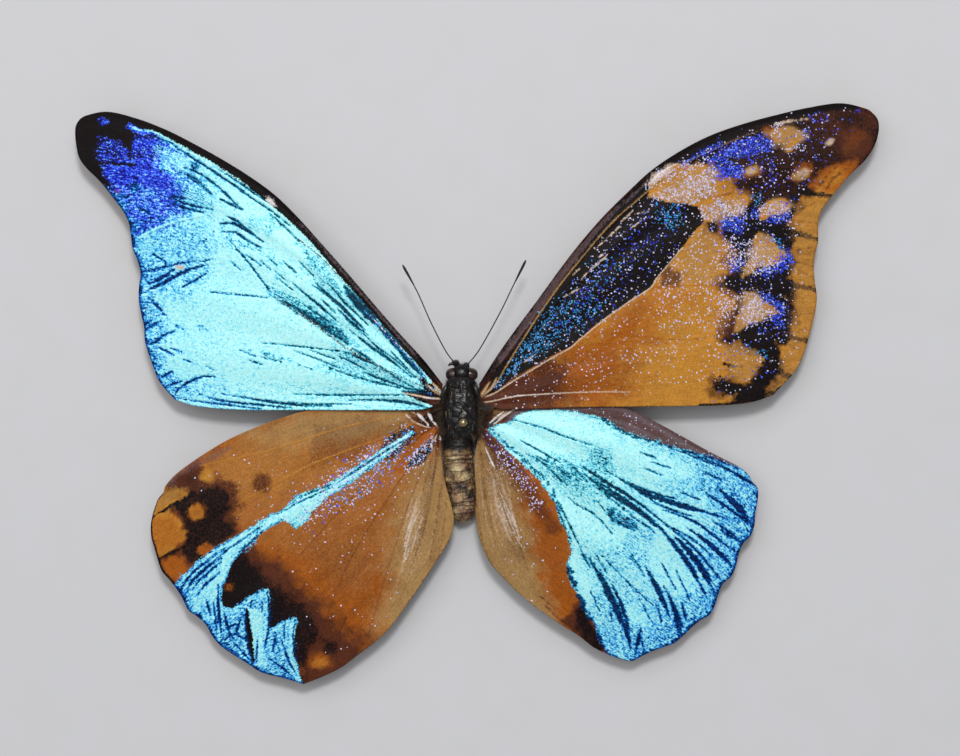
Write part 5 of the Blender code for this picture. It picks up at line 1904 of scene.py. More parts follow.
class BandedCuticle(Finish):
    """The abdomen: black fluff in front, then brown and gold bands with dark blotches."""

    name = "banded_cuticle"

    def __init__(self) -> None:
        """Mixes the bands from the mesh's own numbers."""
        super().__init__()
        place = self.object_place()
        blotches = self.noise(place, 1.5 * MM, 3.0, 0.6)
        fine = self.noise(place, 0.22 * MM, 4.0, 0.65)
        brown = self.mix(self.spread(fine, 0.35, 0.65), srgb(84, 58, 38), srgb(156, 124, 84))
        gold = self.mix(self.spread(blotches, 0.54, 0.64), brown, srgb(190, 160, 112))
        ruddy = self.mix(self.spread(self.noise(place, 2.4 * MM, 2.0), 0.54, 0.66), gold, srgb(98, 56, 40))
        dark = self.mix(self.spread(blotches, 0.42, 0.36), ruddy, srgb(50, 36, 30))
        folded = self.mix(self.attribute("fold"), dark, srgb(52, 28, 18))
        rough = self.spread(blotches, 0.35, 0.6, 1.5, 0.5)
        for layer, tone in (("rosy", srgb(164, 124, 98)), ("pale", srgb(216, 194, 148)), ("ruddy", srgb(74, 38, 32)),
                            ("stain", srgb(26, 20, 22))):
            share = self.calc("MULTIPLY", self.attribute(layer), rough, clamp=True)
            folded = self.mix(share, folded, tone)
        self.join(self.mix(self.attribute("front"), folded, srgb(18, 15, 14)), "Base Color")
        self.join(self.spread(fine, 0.3, 0.7, 0.2, 0.55), "Roughness")
        self.bump(fine, 0.05 * MM, 0.9)


@dataclass(frozen=True)
class HairColour:
    """The root and tip colours of one kind of hair."""

    name: str
    root: Colour
    tip: Colour
    roughness: float = 0.45


class HairFinish(Finish):
    """Hairs whose colour differs from one to the next."""

    def __init__(self, look: HairColour) -> None:
        """Mixes the colours by each hair's own number.

        Args:
            look: The colours.
        """
        self.name = look.name
        super().__init__()
        strand = self.attribute("strand")
        self.join(self.mix(strand, look.root, look.tip), "Base Color")
        self.join(self.spread(strand, 0.0, 1.0, look.roughness, look.roughness + 0.2), "Roughness")


class Fur(Growth):
    """Bent, pointed hairs that lean one way."""

    def __init__(self) -> None:
        """Builds the tree."""
        super().__init__("fur", {"Finish": ("Material", None), "Where": ("String", "fur"),
                                 "Density": ("Float", 12e6), "Length": ("Float", 1.0 * MM),
                                 "Thickness": ("Float", 0.035 * MM), "Lean": ("Vector", (0.0, -1.0, 0.0)),
                                 "Bend": ("Float", 0.35), "Scatter": ("Float", 0.4), "Seed": ("Int", 1)})
        mask = self.add("GeometryNodeInputNamedAttribute", {"Name": self.size("Where")}, data_type="FLOAT")
        density = self.calc("MULTIPLY", mask.outputs[0], self.size("Density"))
        points = self.add("GeometryNodeDistributePointsOnFaces", {"Mesh": self.size("Geometry"), "Density": density,
                                                                  "Seed": self.size("Seed")})
        scatter = self.add("FunctionNodeRandomValue", {0: (-1.0, -1.0, -1.0), 1: (1.0, 1.0, 1.0), "Seed": 1},
                           data_type="FLOAT_VECTOR")
        scattered = self.scaled(scatter.outputs[0], self.size("Scatter"))
        leaning = self.vector("ADD", points.outputs["Normal"], self.size("Lean"))
        heading = self.vector("ADD", leaning, scattered)
        upright = self.add("FunctionNodeAlignRotationToVector", {"Vector": heading}, axis="Z")
        turned = self.add("FunctionNodeAlignRotationToVector",
                          {"Rotation": upright.outputs[0], "Vector": self.size("Lean")}, axis="X", pivot_axis="Z")
        thick = self.random_number(0.7, 1.3, 2, self.size("Thickness"))
        long = self.random_number(0.45, 1.2, 3, self.size("Length"))
        scale = self.add("ShaderNodeCombineXYZ", {0: thick, 1: thick, 2: long})
        hairs = self.add("GeometryNodeInstanceOnPoints",
                         {"Points": points.outputs["Points"], "Instance": self.hair(),
                          "Rotation": turned.outputs[0], "Scale": scale.outputs[0]})
        named = self.add("GeometryNodeStoreNamedAttribute",
                         {"Geometry": hairs.outputs[0], "Name": "strand", "Value": self.random_number(0.0, 1.0, 4)},
                         data_type="FLOAT", domain="INSTANCE")
        self.end(named.outputs[0])

    def random_number(self, low: float, high: float, salt: int, times: object = 1.0) -> Socket:
        """A random number for each point.

        Args:
            low: The lowest.
            high: The highest.
            salt: Which series of random numbers.
            times: What it is multiplied by.

        Returns:
            The number's socket.
        """
        number = self.add("FunctionNodeRandomValue", {2: low, 3: high, "Seed": salt}, data_type="FLOAT")
        return self.calc("MULTIPLY", number.outputs[1], times)

    def hair(self) -> Socket:
        """One hair of unit length and thickness, bent to one side.

        Returns:
            The hair's socket.
        """
        cone = self.add("GeometryNodeMeshCone", {"Vertices": 3, "Side Segments": 3, "Radius Top": 0.15,
                                                 "Radius Bottom": 1.0, "Depth": 1.0})
        place = self.add("ShaderNodeSeparateXYZ", {0: self.add("GeometryNodeInputPosition").outputs[0]})
        squared = self.calc("POWER", place.outputs["Z"], 2.0)
        ratio = self.calc("DIVIDE", self.size("Length"), self.size("Thickness"))
        aside = self.calc("MULTIPLY", squared, self.calc("MULTIPLY", ratio, self.size("Bend")))
        offset = self.add("ShaderNodeCombineXYZ", {0: aside})
        bent = self.add("GeometryNodeSetPosition", {"Geometry": cone.outputs[0], "Offset": offset.outputs[0]})
        return bent.outputs[0]


class Ringed(Growth):
    """A feeler: short flared rings, one after the other along a line."""

    def __init__(self) -> None:
        """Builds the tree."""
        super().__init__("ringed_feeler", {"Finish": ("Material", None), "Rings": ("Int", 78),
                                           "Sides": ("Int", 9), "Overlap": ("Float", 1.12)})
        line = self.add("GeometryNodeMeshToCurve", {"Mesh": self.size("Geometry")})
        even = self.add("GeometryNodeResampleCurve", {"Curve": line.outputs[0], "Count": self.size("Rings")})
        width = self.add("GeometryNodeInputNamedAttribute", {"Name": "half_width"}, data_type="FLOAT")
        tangent = self.add("GeometryNodeInputTangent")
        heading = self.add("FunctionNodeAlignRotationToVector", {"Vector": tangent.outputs[0]}, axis="Z")
        whole = self.add("GeometryNodeCurveLength", {0: line.outputs[0]})
        step = self.calc("DIVIDE", whole.outputs[0], self.size("Rings"))
        length = self.calc("MULTIPLY", step, self.size("Overlap"))
        scale = self.add("ShaderNodeCombineXYZ", {0: width.outputs[0], 1: width.outputs[0], 2: length})
        ring = self.add("GeometryNodeMeshCone", {"Vertices": self.size("Sides"), "Side Segments": 1,
                                                 "Radius Top": 1.0, "Radius Bottom": 0.82, "Depth": 1.0})
        rings = self.add("GeometryNodeInstanceOnPoints",
                         {"Points": even.outputs[0], "Instance": ring.outputs[0], "Rotation": heading.outputs[0],
                          "Scale": scale.outputs[0]})
        self.end(rings.outputs[0])


@dataclass
class Finishes:
    """The finishes of the body, made once."""

    black: Shell = field(default_factory=lambda: Shell(
        Cuticle("black_cuticle", srgb(8, 7, 8), srgb(27, 21, 20), 0.3, grain=0.3 * MM, bump=0.03 * MM)))
    leg: Shell = field(default_factory=lambda: Shell(
        Cuticle("leg_cuticle", srgb(26, 18, 15), srgb(62, 44, 34), 0.4, grain=0.15 * MM)))
    feeler: Shell = field(default_factory=lambda: Shell(
        Cuticle("feeler_cuticle", srgb(14, 11, 11), srgb(40, 30, 26), 0.4, grain=0.1 * MM, bump=0.01 * MM)))
    brass: Shell = field(default_factory=lambda: Shell(
        Cuticle("worn_brass", srgb(172, 146, 106), srgb(206, 188, 156), 0.24, grain=0.2 * MM, bump=0.004 * MM,
                metal=1.0)))
    eye: Facets = field(default_factory=Facets)
    banded: BandedCuticle = field(default_factory=BandedCuticle)
    black_hair: HairFinish = field(default_factory=lambda: HairFinish(
        HairColour("black_hair", srgb(9, 8, 8), srgb(44, 34, 29), 0.34)))
    brown_hair: HairFinish = field(default_factory=lambda: HairFinish(
        HairColour("brown_hair", srgb(34, 25, 20), srgb(98, 76, 54), 0.4)))
    gold_hair: HairFinish = field(default_factory=lambda: HairFinish(
        HairColour("gold_hair", srgb(150, 110, 60), srgb(226, 196, 140), 0.3)))
    fur: Fur = field(default_factory=Fur)
    rings: Ringed = field(default_factory=Ringed)

    def grow_fur(self, name: str, base: bpy.types.Object, hair: HairFinish, slot: str,
                 **values: object) -> bpy.types.Object:
        """Grows hairs on a piece.

        Args:
            name: The hairs' piece name.
            base: What they grow on.
            hair: Their finish.
            slot: The record's material slot.
            **values: The fur's named inputs.

        Returns:
            The hairs.
        """
        return dress(self.fur.grow(name, base, Finish=hair.material, **values), slot)


@dataclass
class Thorax:
    """The thorax: an egg with a collar, grooves and a plate behind, all black and glossy under hair."""

    profile: Sequence[Point] = ((8.15, 1.0), (7.8, 1.8), (7.2, 2.3), (6.4, 2.5), (5.0, 2.85), (3.0, 3.2),
                                (1.0, 3.35), (-1.0, 3.1), (-2.6, 2.5))
    middle: tuple[float, float] = (-0.5, 5.8)
    beads: Sequence[tuple[float, ...]] = (  # place, half width, half length and height of small shiny ridges
        (-2.8, 3.0, 0.13, 0.5, 0.3), (1.45, 4.1, 0.1, 1.3, 0.14), (-1.4, 5.4, 0.12, 0.8, 0.12),
        (0.4, 5.0, 0.12, 1.0, 0.1), (-0.44, 2.15, 0.2, 0.5, 0.26), (-1.4, -1.1, 0.16, 0.42, 0.3),
        (-0.4, -1.35, 0.5, 0.14, 0.26), (-0.9, 1.2, 0.14, 0.4, 0.16), (-1.9, 6.9, 0.7, 0.12, 0.18),
        (0.85, 6.7, 0.5, 0.14, 0.2), (-2.5, 1.1, 0.12, 0.5, 0.2), (1.9, 1.4, 0.12, 0.6, 0.2))
    rings: int = 150
    sides: int = 140
    groove_depth: float = 0.26
    groove_turn: float = 0.46
    groove_width: float = 0.12

    def build(self, finishes: Finishes) -> None:
        """Makes the thorax and its fur.

        Args:
            finishes: The finishes of the body.
        """
        places = smooth_path([(self.middle[0], y, self.middle[1], radius) for y, radius in self.profile], self.rings)
        tube = Tube(places[:, :3] * MM, places[:, 3] * MM, self.sides)
        y, turn = places[:, 1][:, None], tube.turn[None, :]
        above = np.clip(np.sin(turn), 0, 1)
        across = np.cos(turn)
        back = smoothstep(-2.2, -0.8, y) * smoothstep(6.4, 5.2, y)
        broken = value_noise(across * 3, y * 1.4, 8)
        groove = np.exp(-((np.abs(across) - self.groove_turn) / self.groove_width) ** 2)
        lift = -self.groove_depth * groove * back * broken
        lift -= 0.12 * np.exp(-(across / 0.06) ** 2) * back * smoothstep(0.6, 1.4, np.abs(y)) * broken
        suture = y - (0.4 - 2.6 * np.abs(across))
        lift -= 0.3 * np.exp(-(suture / 0.28) ** 2) * above * smoothstep(0.75, 0.3, np.abs(across))
        lift += 0.28 * np.exp(-((y + 1.1) / 0.8) ** 2 - (across / 0.35) ** 2)
        lift += 0.3 * np.exp(-((y - 6.2) / 0.35) ** 2) * above * smoothstep(0.05, 0.2, np.abs(across))
        lift += 0.3 * (value_noise(turn * 3.4, y * 1.3, 5) - 0.5) + 0.16 * (value_noise(turn * 8, y * 3.4, 6) - 0.5)
        lift += 0.08 * (value_noise(turn * 19, y * 8, 7) - 0.5)
        x = tube.rings[..., 0] / MM
        for bead_x, bead_y, half_width, half_length, height in self.beads:
            lift += 0.7 * height * np.exp(-((x - bead_x) / half_width) ** 2 - ((y - bead_y) / half_length) ** 2)
        tube.push(lift * above * MM + 0.05 * MM * (1 - above))
        bare = np.exp(-((np.abs(across) - 0.28) / 0.2) ** 2) * above
        bare = bare * smoothstep(-1.6, -0.4, y) * smoothstep(5.6, 4.6, y)
        fur = np.clip(1.0 - 0.7 * bare, 0, 1) * (0.25 + 0.75 * smoothstep(-0.7, 0.1, np.sin(turn)))
        fur *= 1 - 0.8 * above * smoothstep(0.85, 0.6, np.abs(across)) * smoothstep(-2.2, -1.4, y)
        side = smoothstep(0.8, 0.93, np.abs(across)) * smoothstep(-0.3, 0.2, np.sin(turn))
        tuft = side * smoothstep(-2.4, -1.4, y) * smoothstep(6.6, 5.8, y)
        mesh = tube.mesh("thorax_shell", fur=fur, tuft_left=tuft * (across < 0), tuft_right=tuft * (across > 0))
        shell = dress(add_object("thorax_shell", mesh, finishes.black.material), "dark_cuticle", "thorax")
        finishes.grow_fur("thorax_fur", shell, finishes.black_hair, "dark_cuticle", Density=14e6, Length=0.95 * MM,
                          Thickness=0.034 * MM, Lean=(0.0, -1.3, 0.0), Scatter=0.7, Seed=3)
        # sparse gold hairs that also stand for the thorax's small painted glints
        finishes.grow_fur("thorax_glint_hairs", shell, finishes.gold_hair, "dark_cuticle", Density=0.4e6,
                          Length=1.1 * MM, Thickness=0.022 * MM, Lean=(0.0, -1.1, 0.0), Scatter=0.9, Bend=0.5, Seed=4)
        for side_name, way in SIDES:
            finishes.grow_fur(f"wing_base_fur_{side_name}", shell, finishes.brown_hair, "dark_cuticle",
                              Where=f"tuft_{side_name}", Density=24e6, Length=1.7 * MM, Thickness=0.03 * MM,
                              Lean=(1.1 * way, -1.2, 0.4), Scatter=1.0, Bend=0.55, Seed=5)
            self.add_tegula(finishes, side_name, way)
            self.add_joint(finishes, side_name, way)

    def add_joint(self, finishes: Finishes, side_name: str, way: float) -> None:
        """Adds the hairy membrane that fills the corner between a forewing and a hindwing.

        Args:
            finishes: The finishes.
            side_name: Left or right.
            way: -1 for the left side and 1 for the right.
        """
        x = self.middle[0]
        tube = Tube.through([(x + way * 2.3, 2.7, 6.0, 0.3), (x + way * 3.1, 2.5, 6.0, 1.3),
                             (x + way * 4.1, 2.1, 5.95, 1.35), (x + way * 5.1, 1.7, 5.85, 1.0),
                             (x + way * 6.0, 1.5, 5.7, 0.2)], 30, 24, flatness=0.34)
        up = smoothstep(-0.1, 0.5, np.sin(tube.turn))[None, :]
        mesh = tube.mesh("wing_joint", fur=up)
        joint = dress(add_object(f"wing_joint_{side_name}", mesh, finishes.leg.material), "dark_cuticle")
        finishes.grow_fur(f"wing_joint_fur_{side_name}", joint, finishes.brown_hair, "dark_cuticle", Density=34e6,
                          Length=1.5 * MM, Thickness=0.03 * MM, Lean=(0.5 * way, -0.2, 0.7), Scatter=1.2, Bend=0.4,
                          Seed=8)

    def add_tegula(self, finishes: Finishes, side_name: str, way: float) -> None:
        """Adds the small plate over a forewing's joint.

        Args:
            finishes: The finishes.
            side_name: Left or right.
            way: -1 for the left side and 1 for the right.
        """
        x = self.middle[0]
        tube = Tube.through([(x + way * 2.3, 6.5, 7.45, 0.1), (x + way * 2.6, 6.0, 7.6, 0.32),
                             (x + way * 2.95, 5.2, 7.6, 0.38), (x + way * 3.25, 4.3, 7.5, 0.28),
                             (x + way * 3.45, 3.6, 7.35, 0.1)], 26, 18, flatness=0.5)
        mesh = tube.mesh("tegula", fur=1.0)
        plate = dress(add_object(f"wing_plate_{side_name}", mesh, finishes.black.material), "dark_cuticle")
        finishes.grow_fur(f"wing_plate_fur_{side_name}", plate, finishes.black_hair, "dark_cuticle", Density=20e6,
                          Length=0.7 * MM, Thickness=0.024 * MM, Lean=(0.9 * way, -1.2, 0.2), Scatter=0.8, Seed=7)


@dataclass
class Head:
    """The head with its eyes, palps and coiled tongue."""

    middle: tuple[float, float, float] = (-0.3, 8.55, 5.6)
    size: tuple[float, float, float] = (2.1, 1.55, 1.75)
    flat: float = 1.4
    eye_radius: float = 1.2
    eye_height: float = 1.5
    eye_start: float = 1.22  # from the head's middle
    eye_middle: tuple[float, float] = (8.3, 5.6)
    palps: tuple = (("left", ((-1.0, 9.0, 3.3, 0.3), (-1.3, 10.1, 3.9, 0.42), (-1.3, 10.2, 5.1, 0.44),
                              (-1.6, 10.15, 5.9, 0.3), (-2.2, 10.1, 6.1, 0.2), (-2.6, 9.8, 6.0, 0.1))),
                    ("right", ((0.2, 9.0, 3.3, 0.3), (0.4, 9.7, 3.9, 0.42), (0.5, 9.75, 4.9, 0.4),
                               (0.5, 9.5, 5.7, 0.2))))
    tongue_middle: tuple[float, float, float] = (-0.4, 8.7, 2.35)
    tongue_radii: tuple[float, float] = (0.25, 1.0)
    tongue_turns: float = 1.6

    def build(self, finishes: Finishes) -> None:
        """Makes the head and everything on it but the feelers.

        Args:
            finishes: The finishes of the body.
        """
        turn = np.linspace(0.06, math.pi - 0.06, 44)
        path = places_of(self.middle[0], self.middle[1] + self.size[1] * np.cos(turn), self.middle[2])
        tube = Tube(path, self.size[0] * np.sin(turn) * MM, 60, flatness=self.size[2] / self.size[0])
        offset = tube.rings[..., 0] - self.middle[0] * MM
        flat = self.flat * MM
        tube.rings[..., 0] = self.middle[0] * MM + flat * np.tanh(offset / flat)
        angle = tube.turn[None, :]
        bumps = 0.12 * (value_noise(angle * 6, turn[:, None] * 9, 9) - 0.5)
        tube.push(bumps * MM)
        fur = smoothstep(-0.5, 0.3, np.sin(angle))
        mesh = tube.mesh("head_shell", fur=fur, tuft=fur * (turn[:, None] < 1.2))
        shell = dress(add_object("head_shell", mesh, finishes.black.material), "dark_cuticle", "head")
        finishes.grow_fur("head_fur", shell, finishes.black_hair, "dark_cuticle", Density=12e6, Length=0.5 * MM,
                          Thickness=0.026 * MM, Lean=(0.0, 0.2, 0.4), Scatter=0.6, Seed=11)
        finishes.grow_fur("face_fur", shell, finishes.black_hair, "dark_cuticle", Where="tuft", Density=10e6,
                          Length=0.6 * MM, Thickness=0.028 * MM, Lean=(0.0, 1.0, 0.2), Scatter=0.6, Seed=12)
        for side_name, way in SIDES:
            self.add_eye(finishes, side_name, way)
        for side_name, places in self.palps:
            self.add_palp(finishes, side_name, places)
        self.add_tongue(finishes)

    def add_eye(self, finishes: Finishes, side_name: str, way: float) -> None:
        """Adds one domed eye.

        Args:
            finishes: The finishes.
            side_name: Left or right.
            way: -1 for the left side and 1 for the right.
        """
        turn = np.linspace(0.0, math.pi / 2 - 0.03, 26)
        x = self.middle[0] + way * (self.eye_start + (self.eye_height + 0.08) * np.sin(turn))
        tube = Tube(places_of(x, *self.eye_middle), self.eye_radius * np.cos(turn) ** 0.75 * MM, 48)
        dress(add_object(f"eye_dome_{side_name}", tube.mesh("eye"), finishes.eye.material), "eye", f"eye_{side_name}")

    def add_palp(self, finishes: Finishes, side_name: str, places: Sequence[Sequence[float]]) -> None:
        """Adds one hairy palp.

        Args:
            finishes: The finishes.
            side_name: Left or right.
            places: Its places and half widths.
        """
        path = smooth_path(places, 34)
        tube = Tube(path[:, :3] * MM, path[:, 3] * MM, 20)
        tube.push(0.1 * MM * (value_noise(tube.turn[None, :] * 3, path[:, 2:3] * 4, 3) - 0.5))
        mesh = tube.mesh("palp", fur=1.0)
        name = f"palp_{side_name}"
        shell = dress(add_object(f"{name}_shell", mesh, finishes.black.material), "dark_cuticle", name)
        hair = finishes.brown_hair if side_name == "left" else finishes.black_hair
        finishes.grow_fur(f"{name}_fur", shell, hair, "dark_cuticle", Density=42e6, Length=0.42 * MM,
                          Thickness=0.028 * MM, Lean=(0.0, 0.3, 0.8), Scatter=0.5, Seed=13)

    def add_tongue(self, finishes: Finishes) -> None:
        """Adds the tongue, coiled under the head.

        Args:
            finishes: The finishes of the body.
        """
        share = np.linspace(0, 1, 90)
        turn = 2 * math.pi * self.tongue_turns * share
        radius = self.tongue_radii[1] + (self.tongue_radii[0] - self.tongue_radii[1]) * share
        path = places_of(self.tongue_middle[0], self.tongue_middle[1] - radius * np.sin(turn),
                         self.tongue_middle[2] + radius * np.cos(turn))
        width = (0.13 - 0.05 * share) * (1 + 0.06 * np.sin(share * 260))
        mesh = Tube(path, width * MM, 12).mesh("tongue")
        dress(add_object("tongue_coil", mesh, finishes.leg.material), "dark_cuticle", "tongue")


@dataclass
class Abdomen:
    """The abdomen: eight overlapping rings, dark and fluffy in front, wrinkled and hairy behind."""

    axis: Sequence[Sequence[float]] = ((-0.7, -2.1, 5.6, 2.0), (-0.8, -3.25, 5.5, 2.4), (-0.95, -5.0, 5.3, 2.7),
                                       (-0.85, -8.0, 4.5, 2.6), (-0.5, -11.0, 3.6, 2.65), (-0.05, -13.6, 3.0, 2.8),
                                       (0.1, -15.9, 2.6, 2.4), (0.5, -17.3, 2.1, 0.6))
    stains: Sequence[tuple[str, float, float, float, float]] = (  # what, place, half width and half length
        ("pale", -1.1, -8.1, 0.9, 1.1), ("pale", 0.3, -9.4, 0.6, 0.7), ("pale", -1.6, -6.2, 0.9, 0.25),
        ("ruddy", 1.2, -7.2, 0.8, 0.5), ("stain", 0.9, -8.2, 0.4, 0.6), ("ruddy", -1.9, -9.8, 0.4, 0.8),
        ("stain", -0.5, -11.4, 1.0, 0.9), ("stain", 1.2, -12.7, 0.9, 1.3), ("stain", 2.3, -9.0, 0.5, 2.6),
        ("stain", -2.4, -13.2, 0.4, 2.0), ("ruddy", 1.0, -15.7, 1.3, 0.9), ("ruddy", 1.6, -13.6, 0.9, 1.2),
        ("stain", -0.6, -14.5, 1.2, 0.16), ("pale", -1.3, -15.7, 0.5, 0.7), ("pale", 2.1, -15.9, 0.25, 0.4),
        ("rosy", -1.4, -12.9, 1.0, 1.0), ("rosy", -0.6, -15.3, 0.7, 0.7))
    creases: Sequence[float] = (-5.75, -6.5, -7.15, -10.7, -14.6, -16.0)
    rings: int = 220
    sides: int = 110
    segments: int = 8
    flatness: float = 0.95

    def build(self, finishes: Finishes) -> None:
        """Makes the abdomen and its hairs.

        Args:
            finishes: The finishes of the body.
        """
        tube = Tube.through(self.axis, self.rings, self.sides, self.flatness)
        share = np.linspace(0, 1, self.rings)[:, None]
        turn = tube.turn[None, :]
        bend = 0.35 * (value_noise(turn * 2.2, share * 9, 21) - 0.5)
        phase = np.mod(self.segments * share + 0.3 * bend, 1.0)
        lift = -0.2 + 0.34 * phase ** 1.3 - 0.34 * smoothstep(0.93, 1.0, phase)
        wrinkles = value_noise(turn * 5, share * 110 + 2 * bend, 22) - 0.5
        lumps = value_noise(turn * 3.2, share * 22, 23) - 0.5
        crumple = value_noise(turn * 7 + 4 * lumps, share * 46, 25) - 0.5
        behind = smoothstep(0.1, 0.4, share)
        tube.push((lift + 0.1 * wrinkles + (0.44 * lumps + 0.34 * crumple) * behind) * MM)
        tube.rings[..., 2] = np.maximum(tube.rings[..., 2], 0.02 * MM)
        x, y = tube.rings[..., 0] / MM, tube.rings[..., 1] / MM
        back = smoothstep(-0.4, 0.3, np.sin(turn))
        ragged = 1.1 * (value_noise(x * 1.6, y * 1.6, 24) - 0.5)
        front = smoothstep(-5.5, -4.5, y + ragged) * (0.5 + 0.5 * smoothstep(-0.6, 0.2, np.sin(turn)))
        fold = smoothstep(0.8, 0.97, phase) * 0.6 + smoothstep(0.12, 0.0, phase) * 0.6
        for place in self.creases:
            line = y - place - 0.3 * ragged + 0.12 * (x / 2.0) ** 2
            fold = fold + 0.9 * np.exp(-(line / 0.11) ** 2) * back
            tube.push(-0.12 * MM * np.exp(-(line / 0.16) ** 2) * back)
        layers = {what: 0 * x for what in ("pale", "rosy", "ruddy", "stain")}
        for what, stain_x, stain_y, half_width, half_length in self.stains:
            spot = np.exp(-((x - stain_x) / half_width) ** 2 - ((y - stain_y) / half_length) ** 2)
            layers[what] = np.maximum(layers[what], spot * back)
        mesh = tube.mesh("abdomen_shell", front=front, fold=np.clip(fold, 0, 1) * (1 - 0.5 * front),
                         fur=np.clip(front * 1.3, 0, 1) * (0.3 + 0.7 * back),
                         down=(1 - front) * (0.4 + 0.6 * back) * smoothstep(0.8, 1.2, tube.rings[..., 2] / MM),
                         **layers)
        shell = dress(add_object("abdomen_shell", mesh, finishes.banded.material), "brown_cuticle", "abdomen")
        finishes.grow_fur("abdomen_fluff", shell, finishes.black_hair, "dark_cuticle", Density=20e6,
                          Length=0.85 * MM, Thickness=0.03 * MM, Lean=(0.0, -1.2, 0.0), Scatter=0.7, Seed=21)
        finishes.grow_fur("abdomen_down", shell, finishes.brown_hair, "brown_cuticle", Where="down", Density=5e6,
                          Length=0.45 * MM, Thickness=0.024 * MM, Lean=(0.0, -1.6, -0.1), Scatter=0.5, Seed=22)
        finishes.grow_fur("abdomen_gold", shell, finishes.gold_hair, "brown_cuticle", Where="down", Density=2e6,
                          Length=0.7 * MM, Thickness=0.026 * MM, Lean=(0.3, -1.2, 0.0), Scatter=0.9, Bend=0.6,
                          Seed=23)


@dataclass
class Leg:
    """One pair of legs, by the places of the right one's hip, knee, ankle and claw."""

    name: str
    hip: tuple[float, float, float]
    knee: tuple[float, float, float]
    ankle: tuple[float, float, float]
    claw: tuple[float, float, float]
    body_x: float = -0.5
    half_widths: Sequence[float] = (0.42, 0.5, 0.44, 0.26, 0.24, 0.22, 0.15, 0.17, 0.13, 0.15, 0.1)
    rings: int = 84
    sides: int = 14
    joints: int = 8  # of which those of the foot show

    def build(self, finishes: Finishes) -> None:
        """Makes both legs of the pair with their spines.

        Args:
            finishes: The finishes of the body.
        """
        for side_name, way in SIDES:
            places = [(self.body_x + way * x, y, z) for x, y, z in (self.hip, self.knee, self.ankle, self.claw)]
            share = np.linspace(0, 1, self.rings)
            widths = np.interp(share, np.linspace(0, 1, len(self.half_widths)), self.half_widths)
            joints = 0.05 * np.exp(-((np.mod(np.linspace(0, self.joints, self.rings), 1) - 0.5) / 0.12) ** 2)
            widths -= joints * smoothstep(0.6, 0.75, share)
            tube = Tube(smooth_path(places, self.rings) * MM, widths * MM, self.sides)
            tube.rings[..., 2] = np.maximum(tube.rings[..., 2], 0.01 * MM)
            mesh = tube.mesh("leg", fur=smoothstep(0.55, 0.75, tube.rings[..., 2] / MM))
            name = f"{self.name}_{side_name}"
            shell = dress(add_object(f"{name}_shell", mesh, finishes.leg.material), "dark_cuticle", name)
            finishes.grow_fur(f"{name}_spines", shell, finishes.black_hair, "dark_cuticle", Density=9e6,
                              Length=0.4 * MM, Thickness=0.03 * MM, Lean=(0.5 * way, 0.3, -0.9), Scatter=0.3,
                              Bend=0.1, Seed=31)


LEGS = (Leg("foreleg", (1.0, 6.1, 2.9), (2.1, 8.3, 2.6), (1.5, 6.9, 1.5), (0.9, 5.5, 1.1)),
        Leg("midleg", (1.5, 3.9, 2.3), (4.1, 6.2, 3.3), (5.6, 7.2, 0.6), (6.7, 9.0, 0.12)),
        Leg("hindleg", (1.6, 0.7, 2.1), (4.4, -1.0, 3.5), (5.4, -2.6, 0.6), (6.0, -5.2, 0.12)))


@dataclass
class Feeler:
    """One feeler: a thin ringed rod that thickens to a club."""

    side_name: str
    places: Sequence[Sequence[float]]
    half_width: float = 0.115
    club: float = 0.25
    club_share: float = 0.2
    steps: int = 120

    def build(self, finishes: Finishes) -> None:
        """Makes the feeler from its line.

        Args:
            finishes: The finishes of the body.
        """
        path = smooth_path(self.places, self.steps)
        share = np.linspace(0, 1, self.steps)
        inside_club = np.clip((share - 1 + self.club_share) / self.club_share, 0, 1)
        widths = self.half_width + (self.club - self.half_width) * np.sin(0.62 * math.pi * inside_club)
        widths *= np.where(share > 0.985, 0.6, 1.0)
        mesh = bpy.data.meshes.new("feeler_line")
        mesh.from_pydata((path * MM).tolist(), [(i, i + 1) for i in range(self.steps - 1)], [])
        store_number(mesh, "half_width", widths * MM)
        line = add_object("feeler_line", mesh)
        name = f"antenna_{self.side_name}"
        piece = finishes.rings.grow(f"{name}_rings", line, Finish=finishes.feeler.material)
        bpy.data.objects.remove(line)
        dress(piece, "dark_cuticle", name)


FEELERS = (Feeler("left", ((-1.15, 9.75, 6.35), (-1.4, 10.2, 6.5), (-3.0, 12.2, 7.0), (-5.6, 17.2, 7.7),
                           (-8.0, 22.6, 8.1), (-10.4, 27.0, 8.2))),
           Feeler("right", ((0.45, 9.65, 6.35), (0.8, 10.1, 6.5), (2.9, 12.8, 7.0), (6.4, 19.1, 7.7),
                            (8.7, 23.8, 8.1), (10.7, 27.8, 8.2))))


@dataclass
class Pin:
    """The pin: a flat foot, a straight shank and a ball for a head."""

    shank: float = 0.28
    ball: float = 0.74
    ball_height: float = 11.4
    sides: int = 40

    def build(self, finishes: Finishes) -> None:
        """Turns the pin from its outline.

        Args:
            finishes: The finishes of the body.
        """
        start = math.asin(self.shank / self.ball)
        turn = np.linspace(math.pi - start, 0.03, 30)
        heights = np.concatenate([[0.0, 0.02, 5.0], self.ball_height + self.ball * np.cos(turn)])
        widths = np.concatenate([[0.25, 0.28, 0.28], self.ball * np.sin(turn)])
        mesh = Tube(places_of(0.0, 0.0, heights), widths * MM, self.sides).mesh("pin")
        dress(add_object("pin_shaft", mesh, finishes.brass.material), "brass", "pin")


